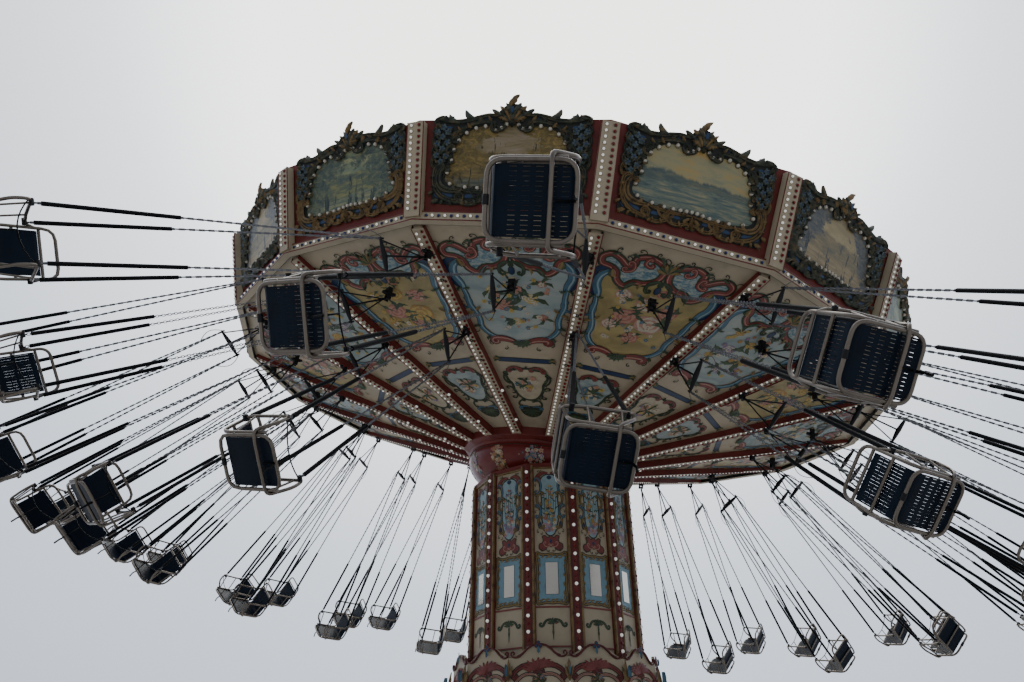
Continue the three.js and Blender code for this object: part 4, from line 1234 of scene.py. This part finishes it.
def inner_cartouche(shape, kind, rng):
    """Flowers inside a border of green leaves, and a dark medallion with a ribbon at the hub end."""
    centre = np.array([0, 2.45])
    inner = whole([(0, 2.075), (0.09, 2.1), (0.16, 2.18), (0.215, 2.3), (0.23, 2.44), (0.285, 2.54),
                   (0.31, 2.66), (0.25, 2.74), (0.13, 2.775), (0, 2.8)])
    patch(shape, inner, 0.002, "sky_field" if kind % 2 else "pale_field", centre)
    ring_band(shape, inner, 0.04, 0.0035, "ink")
    ring_band(shape, inner, 0.022, 0.005, "leaf_green")
    for j in range(22):
        here = inner[j * len(inner) // 22]
        away = (here - centre) / np.linalg.norm(here - centre)
        turned = np.array([away[1], -away[0]]) * (0.03 if j % 2 else -0.03)
        slot = "brick" if here[1] > 2.66 and j % 3 == 0 else ("leaf_green", "ink")[j % 2]
        leaf(shape, here - away * 0.015, here + away * 0.05 + turned, 0.045, slot, 0.007, 0.3, 4)
    bouquet(shape, (0, 2.46), 0.19, rng, 0.0085, PANEL_KINDS[kind][3] + ("rose_light", "pale"), 8, 20)
    top = scroll((0.07, 2.8), (0.27, 2.77), 0.22, 0.18, turns=0.85)
    painted(shape, top, 0.036, "brick", 0.009)
    for start, end, bulge in (((0.33, 2.66), (0.29, 2.46), 0.16), ((0.27, 2.38), (0.19, 2.14), -0.16),
                              ((0.11, 2.08), (0.17, 1.94), 0.2)):
        painted(shape, scroll(start, end, bulge, 0.16, turns=0.85), 0.014, "leaf_green", 0.009)
    shell = whole([(0, 1.645), (0.05, 1.655), (0.12, 1.7), (0.165, 1.78), (0.17, 1.86), (0.1, 1.9),
                   (0, 1.92)])
    patch(shape, shell, 0.003, "ink", (0, 1.79))
    fan(shape, 1.84, -90, 26, 0.16, 0.21, 0.06, 0.0045, bend=0, lobes=4)
    painted(shape, scroll((0.02, 1.9), (0.16, 1.9), 0.16, 0.22, (0, 1)), 0.03, "ribbon", 0.007)


def soffit_panel(kind):
    """One painted panel. v is the distance from the canopy's axis."""
    rng = random.Random(20 + kind)
    shape = Shape()
    outer_cartouche(shape, kind, rng)
    cartouche_border(shape)
    cross_bar(shape)
    inner_cartouche(shape, kind, rng)
    return shape


def soffit_panels():
    art = [soffit_panel(kind) for kind in range(len(PANEL_KINDS))]
    shape = Shape()
    for k in range(SECTORS):
        angle = sector_corner(k + 0.5)
        rise = outward(angle) + UP * SOFFIT_SLOPE / HALF_SECTOR
        at = leaning(angle, 0, SOFFIT_AT_AXIS - 0.0006, rise)
        shape.stamp(art[k % len(art)], at, mirror=k % 8 > 3, shift=k)
    place("soffit_panels", shape, "canopy", CANOPY)


# Bowl under the hub: glossy, with a dark band and bouquets

BOWL_TOP = RIB_LOW - 0.0003
BOWL_PROFILE = [
    (1.285, 0.115), (1.276, -0.02), (1.276, -0.05), (1.256, -0.065), (1.262, -0.1), (1.272, -0.15),
    (1.268, -0.21), (1.236, -0.3), (1.19, -0.375), (1.127, -0.45), (1.04, -0.53), (0.95, -0.592),
    (0.93, -0.592), (1.1, -0.44), (1.21, -0.29), (1.235, -0.15), (1.215, -0.02), (1.215, 0.115)]
BOWL_SIDES = 72
DARK_ROWS = 3
CURVED_SIDE = slice(11, 3, -1)


def on_bowl(points):
    """Points of flat art laid on the bowl's curved side, round the angle of its middle."""
    side_r, side_z = np.array(BOWL_PROFILE[CURVED_SIDE]).T
    z = np.clip(-0.29 + points[:, 1] * 0.86, -0.565, -0.115)
    radius = np.interp(z, side_z, side_r) + 0.004 + points[:, 2]
    a = points[:, 0] / radius
    return np.column_stack([np.sin(a) * radius, -np.cos(a) * radius, BOWL_TOP + z])


def bowl():
    shape = Shape()
    c, s = circle(BOWL_SIDES)
    rows = [level(np.column_stack([s, -c]) * r, BOWL_TOP + z) for r, z in BOWL_PROFILE]
    shape.sheet(rows[:DARK_ROWS + 1], "maroon", closed=True, flip=True, smooth=True)
    shape.sheet(rows[DARK_ROWS:], "bowl_gloss", closed=True, flip=True, smooth=True)
    rng = random.Random(4)
    for k in range(TOWER_SIDES):
        art, laid = Shape(), Shape()
        colours = (("rose_light", "pale", "ochre", "rose"), ("lilac", "pale", "ribbon", "rose_light"))[k % 2]
        for centre, size, leaves, flowers in (((0, 0.04), 0.16, 8, 16), ((0.03, -0.13), 0.12, 6, 12),
                                              ((-0.04, 0.17), 0.1, 5, 10)):
            bouquet(art, centre, size, rng, 0, colours, leaves, flowers)
        for _ in range(34):
            spot = (rng.gauss(0, 0.085), rng.gauss(0, 0.13))
            radius, slot = rng.uniform(0.008, 0.016), colours[rng.randrange(4)]
            flower(art, spot, radius, slot, 0.004, rng.random(), petals=4)
        for points, faces, slot, *_ in art.parts:
            laid.add(on_bowl(points), faces, slot)
        shape.stamp(laid, turn(COLUMN_PHASE + TOWER_ANGLE * k + 13))
    for z, r in ((-0.105, 1.268), (-0.59, 0.955)):
        tube(shape, level(np.column_stack([s, -c]) * r, BOWL_TOP + z), 0.006, "ink", 6, closed=True)
    place("bowl", shape, "canopy", CANOPY, ["hub_bowl"])


# Column: light strips on its corners, painted panels, mirrors and mouldings

FACE_HALF = 0.237
STRIP_LOW = COLUMN_BOTTOM + 0.04
STRIP_HIGH = COLUMN_TOP - 0.04
STRIP_OUT = 0.0403
STRIP_PITCH = 0.105
# Flowers of the tall panels, kind by kind
TALL_FLOWERS = (("ochre", "pale", "rose"), ("pale", "rose", "violet"), ("ochre", "gold", "rose"))
LOW_FLOWERS = ("rose_light", "violet", "pale", "lilac")


def tall_panel(shape, kind, rng):
    """Light blue field full of flowers, with scrolls beside it."""
    colours = TALL_FLOWERS[kind]
    field = whole([(0, 4.7), (0.06, 4.73), (0.1, 4.84), (0.125, 4.97), (0.13, 5.1), (0.12, 5.24),
                   (0.135, 5.38), (0.15, 5.5), (0.12, 5.6), (0.05, 5.645), (0, 5.65)])
    patch(shape, field, 0.0035, "sky_blue", (0, 5.2))
    ring_band(shape, field, 0.018, 0.0045, "ink")
    for lean in (-0.085, -0.05, -0.015, 0.02, 0.055, 0.09):
        top = 5.5 - abs(lean) * 2.2
        stem = curve([(lean * 0.2, 4.8), (lean * 0.9, 5.1), (lean, top)], 4)
        band(shape, stem, 0.009, 0.0048, "leaf_green", 0.4)
        for t in (0.45, 0.6, 0.75, 0.9):
            here = stem[int(t * (len(stem) - 1))]
            tip = here + (rng.choice((-0.045, 0.045)), 0.035)
            leaf(shape, here, tip, 0.022, "leaf_green", 0.0052, lobes=4)
        radius, slot = rng.uniform(0.014, 0.022), colours[rng.randrange(3)]
        flower(shape, (lean, top), radius, slot, 0.0066, rng.random())
    for i in range(40):
        t = (i / 39) ** 1.4
        wide = 0.09 * (1 - t) ** 0.7 + 0.016
        spot = (rng.uniform(-wide, wide), 4.78 + 0.62 * t + rng.uniform(-0.02, 0.02))
        pick = colours if t > 0.25 else LOW_FLOWERS
        radius, slot = rng.uniform(0.02, 0.034) * (1.2 - 0.7 * t), pick[rng.randrange(len(pick))]
        flower(shape, spot, radius, slot, 0.0068 + 0.0001 * i, rng.random())
    for start, end, bulge, slot in (((0.165, 5.58), (0.155, 5.36), -0.14, "ribbon"),
                                    ((0.145, 5.36), (0.175, 5.18), 0.16, "gilt_paint"),
                                    ((0.165, 5.16), (0.165, 4.98), -0.16, "ribbon"),
                                    ((0.16, 4.98), (0.13, 4.82), 0.16, "gilt_paint")):
        painted(shape, scroll(start, end, bulge, 0.18, steps=6, turns=0.85), 0.022, slot, 0.009)
    painted(shape, scroll((0.02, 5.665), (0.185, 5.6), 0.22, 0.16, (0, 1), 7), 0.052, "brick", 0.008)
    for u, v, a, b in ((0, 5.6, 0.03, 0.026), (0.155, 4.86, 0.022, 0.05), (-0.155, 4.86, 0.022, 0.05)):
        patch(shape, oval((u, v), a + 0.007, b + 0.007, 12), 0.0095, "ink")
        patch(shape, oval((u, v), a, b, 12), 0.0105, "deep_blue")
    for u, v, heading, size, way in ((0.19, 5.5, -40, 0.04, 1), (0.19, 5.3, 30, 0.04, -1),
                                     (0.19, 5.08, -30, 0.04, 1), (0.17, 4.8, -60, 0.05, 1),
                                     (0.12, 4.76, -80, 0.04, -1), (0.14, 5.68, 50, 0.04, 1)):
        curl(shape, (u, v), heading, size, way, 0.01)
        both_leaves(shape, (u - 0.03, v), (u + 0.01, v + 0.04), 0.024, "gilt_paint", 0.011)


def glass(shape, half, low, high, wider, taller, n, n_glass):
    """A mirror on a slightly larger dark plate."""
    middle = (low + high) / 2
    corners = [(-half, low), (half, low), (half, high), (-half, high)]
    patch(shape, [(u * wider, middle + (v - middle) * taller) for u, v in corners], n, "ink")
    patch(shape, corners, n_glass, "mirror")


def column_panel(kind):
    shape = Shape()
    tall_panel(shape, kind, random.Random(40 + kind))
    # Red shield under the tall panel
    shield = whole([(0, 4.535), (0.045, 4.54), (0.075, 4.5), (0.13, 4.48), (0.172, 4.515), (0.168, 4.575),
                    (0.125, 4.6), (0.112, 4.64), (0.125, 4.69), (0.085, 4.705), (0.045, 4.675), (0, 4.7)])
    patch(shape, shield, 0.0075, "brick", (0, 4.6))
    ring_band(shape, shield, 0.012, 0.0085, "ink")
    line = scroll((0.02, 4.54), (0.105, 4.585), -0.25, 0.25)
    both(band, shape, line, 0.012, 0.009, "rose_light")
    patch(shape, oval((0, 4.62), 0.02, 0.028, 12), 0.0095, "deep_blue")
    curl(shape, (0.06, 4.515), -110, 0.05, 1, 0.012)
    curl(shape, (0.12, 4.515), -60, 0.04, 1, 0.01)
    # Mirror in a blue frame with a leafy edge
    centre = np.array([0, 4.09])
    border = whole([(0, 3.755), (0.08, 3.762), (0.15, 3.75), (0.205, 3.745), (0.212, 3.82), (0.202, 3.95),
                    (0.21, 4.08), (0.202, 4.22), (0.21, 4.34), (0.213, 4.455), (0.15, 4.432), (0.08, 4.425),
                    (0, 4.435)])
    patch(shape, border, 0.002, "panel_blue", centre)
    ring_band(shape, border, 0.042, 0.0035, "ink")
    ring_band(shape, border, 0.02, 0.0045, "gilt_paint")
    for j in range(26):
        i = j * len(border) // 26
        here = border[i]
        along = border[(i + 1) % len(border)] - here
        along = along / np.linalg.norm(along)
        tip = here + along * 0.04 + (centre - here) * 0.12
        leaf(shape, here - along * 0.02, tip, 0.034, "gilt_paint", 0.0055, 0.3, 4)
    glass(shape, 0.088, 3.875, 4.315, 1.06, 1.02, 0.005, 0.006)
    # Green ornament with a tassel
    spray = scroll((0.01, 3.54), (0.135, 3.462), 0.2, 0.22, (0, -1), 7, 7)
    painted(shape, spray, 0.02, "leaf_green", 0.004)
    fan(shape, 3.49, 90, 28, 0.085, 0.075, 0.034, 0.0065, lobes=4)
    leaf(shape, (0, 3.49), (0, 3.27), 0.03, "leaf_green", 0.006, 0, 6)
    flower(shape, (0, 3.495), 0.026, "deep_blue", 0.0085, heart="rose")
    for u in (-0.045, 0.045):
        flower(shape, (u, 3.49), 0.016, "brick", 0.0085, heart="rose")
    return shape


def column():
    art = [column_panel(kind) for kind in range(3)]
    shape, lamps, trim = Shape(), Shape(), Shape()
    for low, high, out, slot in ((3.692, 3.712, 0.014, "brick"), (3.18, 3.2, 0.014, "brick"),
                                 (5.745, 5.765, 0.03, "gilt")):
        box(trim, (-FACE_HALF, low, 0), (FACE_HALF, high, out), slot)
    for k in range(TOWER_SIDES):
        at = upright(COLUMN_PHASE + TOWER_ANGLE * (k + 0.5), COLUMN_RADIUS * math.cos(math.pi / TOWER_SIDES))
        shape.stamp(art[k % 3], at)
        shape.stamp(trim, at)
        corner = COLUMN_PHASE + TOWER_ANGLE * k
        strip = upright(corner, COLUMN_RADIUS + STRIP_OUT)
        for side in (-1, 1):
            piece = Shape()
            tube(piece, [(side * 0.078, z, 0.002) for z in (STRIP_LOW, STRIP_HIGH)], 0.018, "gilt")
            for u, half, low, high, slot in ((side * 0.099, 0.002, -0.036, 0.002, "gilt"),
                                             (side * 0.046, 0.01, 0, 0.004, "dark_red")):
                box(piece, (u - half, STRIP_LOW, low), (u + half, STRIP_HIGH, high), slot)
            n = outward(corner + side * TOWER_ANGLE / 2)
            shape.stamp(piece, axes(strip[:3, 3], np.cross(UP, n), UP, n))
        for i, z in enumerate(np.arange(COLUMN_BOTTOM + 0.14, COLUMN_TOP - 0.05, STRIP_PITCH)):
            lamps.stamp(STRIP_BULBS[i % 2], strip @ move(0, z, -0.004))
    place("column_art", shape, "column")
    place("column_lamps", lamps, "column")


# Drum: mirrors and scrolls on its faces, pediments and finials

LAMP_PITCH = 0.21
COVER_HALF = 0.0306
COVER_SIDE = 0.045
COVER_CHEEK = 0.0319
COVER_STEP = 0.0394


def drum_face(half):
    shape = Shape()
    border = whole([(0, 1), (0.12, 1.02), (0.28, 1), (0.3, 1.15), (0.285, 1.4), (0.3, 1.7), (0.285, 2),
                    (0.3, 2.3), (0.29, 2.56), (0.14, 2.54), (0, 2.56)])
    patch(shape, border, 0.002, "panel_blue", (0, 1.8))
    ring_band(shape, border, 0.04, 0.0035, "ink")
    ring_band(shape, border, 0.022, 0.005, "gilt_paint")
    glass(shape, 0.17, 1.2, 2.36, 1.05, 1.012, 0.0055, 0.007)
    for start, end, bulge in (((0.245, 2.5), (0.25, 2.1), 0.14), ((0.25, 2.06), (0.25, 1.62), -0.12),
                              ((0.25, 1.58), (0.245, 1.1), 0.14)):
        painted(shape, scroll(start, end, bulge, 0.15), 0.028, "ribbon", 0.008)
    # Red carved spray under the pediment, with a bouquet below it, and another at the foot
    fan(shape, 2.9, 90, 21, 0.24, 0.13, 0.07, 0.006, ("brick",), 0.1, 6, 0.02, 4)
    both(fluted, shape, scroll((0.03, 2.92), (0.34, 2.84), 0.16, 0.15), 0.056, 0.026, "brick", 0.004)
    both(fluted, shape, scroll((0.05, 2.82), (0.32, 2.72), 0.18, 0.16), 0.036, 0.02, "rose_light", 0.004)
    bouquet(shape, (0, 2.76), 0.12, random.Random(7), 0.01, ("rose", "pale", "ribbon", "ochre"), 7, 9)
    both(fluted, shape, scroll((0.03, 0.93), (0.28, 0.87), -0.22, 0.16), 0.04, 0.022, "brick", 0.004)
    bouquet(shape, (0, 0.7), 0.13, random.Random(9), 0.004, ("rose", "ochre", "pale"), 7, 8)
    for low, high, out, slot in ((0.2, 0.38, 0.03, "maroon"), (0.38, 0.41, 0.036, "gilt"),
                                 (0.47, 0.485, 0.01, "brick")):
        box(shape, (-half + 0.01, low, 0), (half - 0.01, high, out), slot)
    # Dark red moulding along the pediment, with a volute at each end and a trefoil on top
    shoulder, reach = half - 0.17, half - 0.016
    edge = curve([(half - 0.1, 3.045), (shoulder, 3.075), (reach * 0.42, 3.135), (reach * 0.22, 3.178),
                  (0, 3.192)])
    both(relief, shape, edge, 0.03, 0.026, "dark_red", 0.002, 0.8)
    volute = scroll((shoulder, 3.068), (half - 0.035, 3.045), -0.18, 0.26, (0, 1), 5, 8, 1)
    both(relief, shape, volute, 0.024, 0.028, "dark_red", 0.002, 0.5)
    for centre in ((0, 3.205), (-0.028, 3.165), (0.028, 3.165)):
        patch(shape, oval(centre, 0.026, 0.026, 12), 0.03, "dark_red")
        patch(shape, oval(centre, 0.018, 0.018, 12), 0.032, "deep_blue")
    leaf(shape, (0, 3.16), (0, 3.07), 0.05, "ribbon", 0.024, 0, 5, 0.012)
    return shape


def drum():
    art = drum_face(DRUM_RADIUS * math.sin(math.pi / TOWER_SIDES))
    finial, lamps, shape = Shape(), Shape(), Shape()
    for tip, width in (((0, 3.015), 0.075), ((0.055, 2.93), 0.055), ((-0.055, 2.93), 0.055)):
        leaf(finial, (0, 2.74), tip, width, "gilt", 0.012, 0, 7, 0.04)
    leaf(finial, (0, 2.8), (0, 2.94), 0.036, "ribbon", 0.06, 0, 6, 0.016)
    for k in range(TOWER_SIDES):
        at = upright(DRUM_PHASE + TOWER_ANGLE * (k + 0.5), DRUM_RADIUS * math.cos(math.pi / TOWER_SIDES))
        shape.stamp(art, at)
        corner = DRUM_PHASE + TOWER_ANGLE * k
        pole = outward(corner) * (DRUM_RADIUS + 0.006)
        tube(shape, [pole + UP * 0.42, pole + UP * 2.7], 0.026, "gilt")
        strip = upright(corner, DRUM_RADIUS + 0.01)
        shape.stamp(finial, strip)
        for z in np.arange(0.6, 2.8, LAMP_PITCH):
            lamps.stamp(LAMP, strip @ move(0, z, 0.02))
    place("drum_art", shape, "base")
    place("drum_lamps", lamps, "base")


def hinge_covers():
    """Black housings over the swings' brackets."""
    shape = Shape()
    for _, ring, _, _, at in hinges():
        cover = Shape()
        top = PIVOT_DROP + (0.004 if ring["offset"] else -0.055)
        box(cover, (-COVER_HALF, -COVER_SIDE, COVER_STEP), (COVER_HALF, COVER_SIDE, top), "black_iron")
        for low, high in ((COVER_CHEEK, COVER_SIDE), (-COVER_SIDE, -COVER_CHEEK)):
            box(cover, (-COVER_HALF, low, -0.0308), (COVER_HALF, high, COVER_STEP), "black_iron")
        tube(cover, [(-0.095, 0, 0.088), (-0.06, 0, 0.075), (0.06, 0, 0.068), (0.09, 0, 0.07)],
             [0.02, 0.03, 0.03, 0.018], "black_iron")
        for end in (-0.075, 0.072):
            tube(cover, [(end, -0.052, 0.075), (end, 0.052, 0.075)], 0.01, "black_iron", 6)
        shape.stamp(cover, at)
    place("hinge_covers", shape, "canopy", CANOPY)


swings()
rim()
ribs()
hinge_covers()
soffit_panels()
bowl()
column()
drum()

# Materials for the CAD pieces that show as they are
for name, material in {"base_frame": "grey_steel", "base_drum": "cream", "column_shell": "cream",
                       "column_mouldings": "maroon", "tilt_head": "black_iron", "canopy_frame": "black_iron",
                       "soffit": "cream", "hub_bowl": "bowl_gloss", "rim_boards": "maroon",
                       "rim_pilasters": "cream", "rim_carvings": "gilt", "roof": "grey_steel"}.items():
    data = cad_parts[name].data
    data.materials.clear()
    data.materials.append(bpy.data.materials[material])

# Floor, light and camera
floor = Shape()
box(floor, (-60, -60, -0.06), (60, 60, -0.01), "floor")
new_object("floor", floor.mesh("floor"))


def studio_world():
    """Soft light that is brightest behind and above the ride, as in the photo."""
    world = bpy.data.worlds.new("studio")
    world.use_nodes = True
    tree = world.node_tree
    background = tree.nodes["Background"]
    a = math.radians(BRIGHT_HEIGHT)
    direction = node(tree, "TexCoord")["Generated"]
    brightest = (0, math.cos(a), math.sin(a))
    toward = node(tree, "VectorMath", direction, brightest, operation="DOT_PRODUCT")["Value"]
    spread = node(tree, "MapRange", toward, -1)["Result"]
    levels, tints = [], []
    for degrees, grey, tint in SKY_STOPS:
        position = (math.cos(math.radians(degrees)) + 1) / 2
        levels.append((position, (grey, grey, grey)))
        tints.append((position, tint))
    grey = ramp(tree, spread, levels, "B_SPLINE")
    strength = node(tree, "Math", grey, SKY_STRENGTH, operation="MULTIPLY")["Value"]
    tree.links.new(strength, background.inputs["Strength"])
    tree.links.new(ramp(tree, spread, tints, "B_SPLINE"), background.inputs["Color"])
    return world


bpy.context.scene.world = studio_world()

camera_data = bpy.data.cameras.new("camera")
camera_data.lens = CAMERA_LENS
camera_data.sensor_width = CAMERA_SENSOR
camera = new_object("camera", camera_data)
camera.location = CAMERA_PLACE
camera.rotation_euler = (math.radians(90 + CAMERA_PITCH), 0, math.radians(CAMERA_YAW))
bpy.context.scene.camera = camera
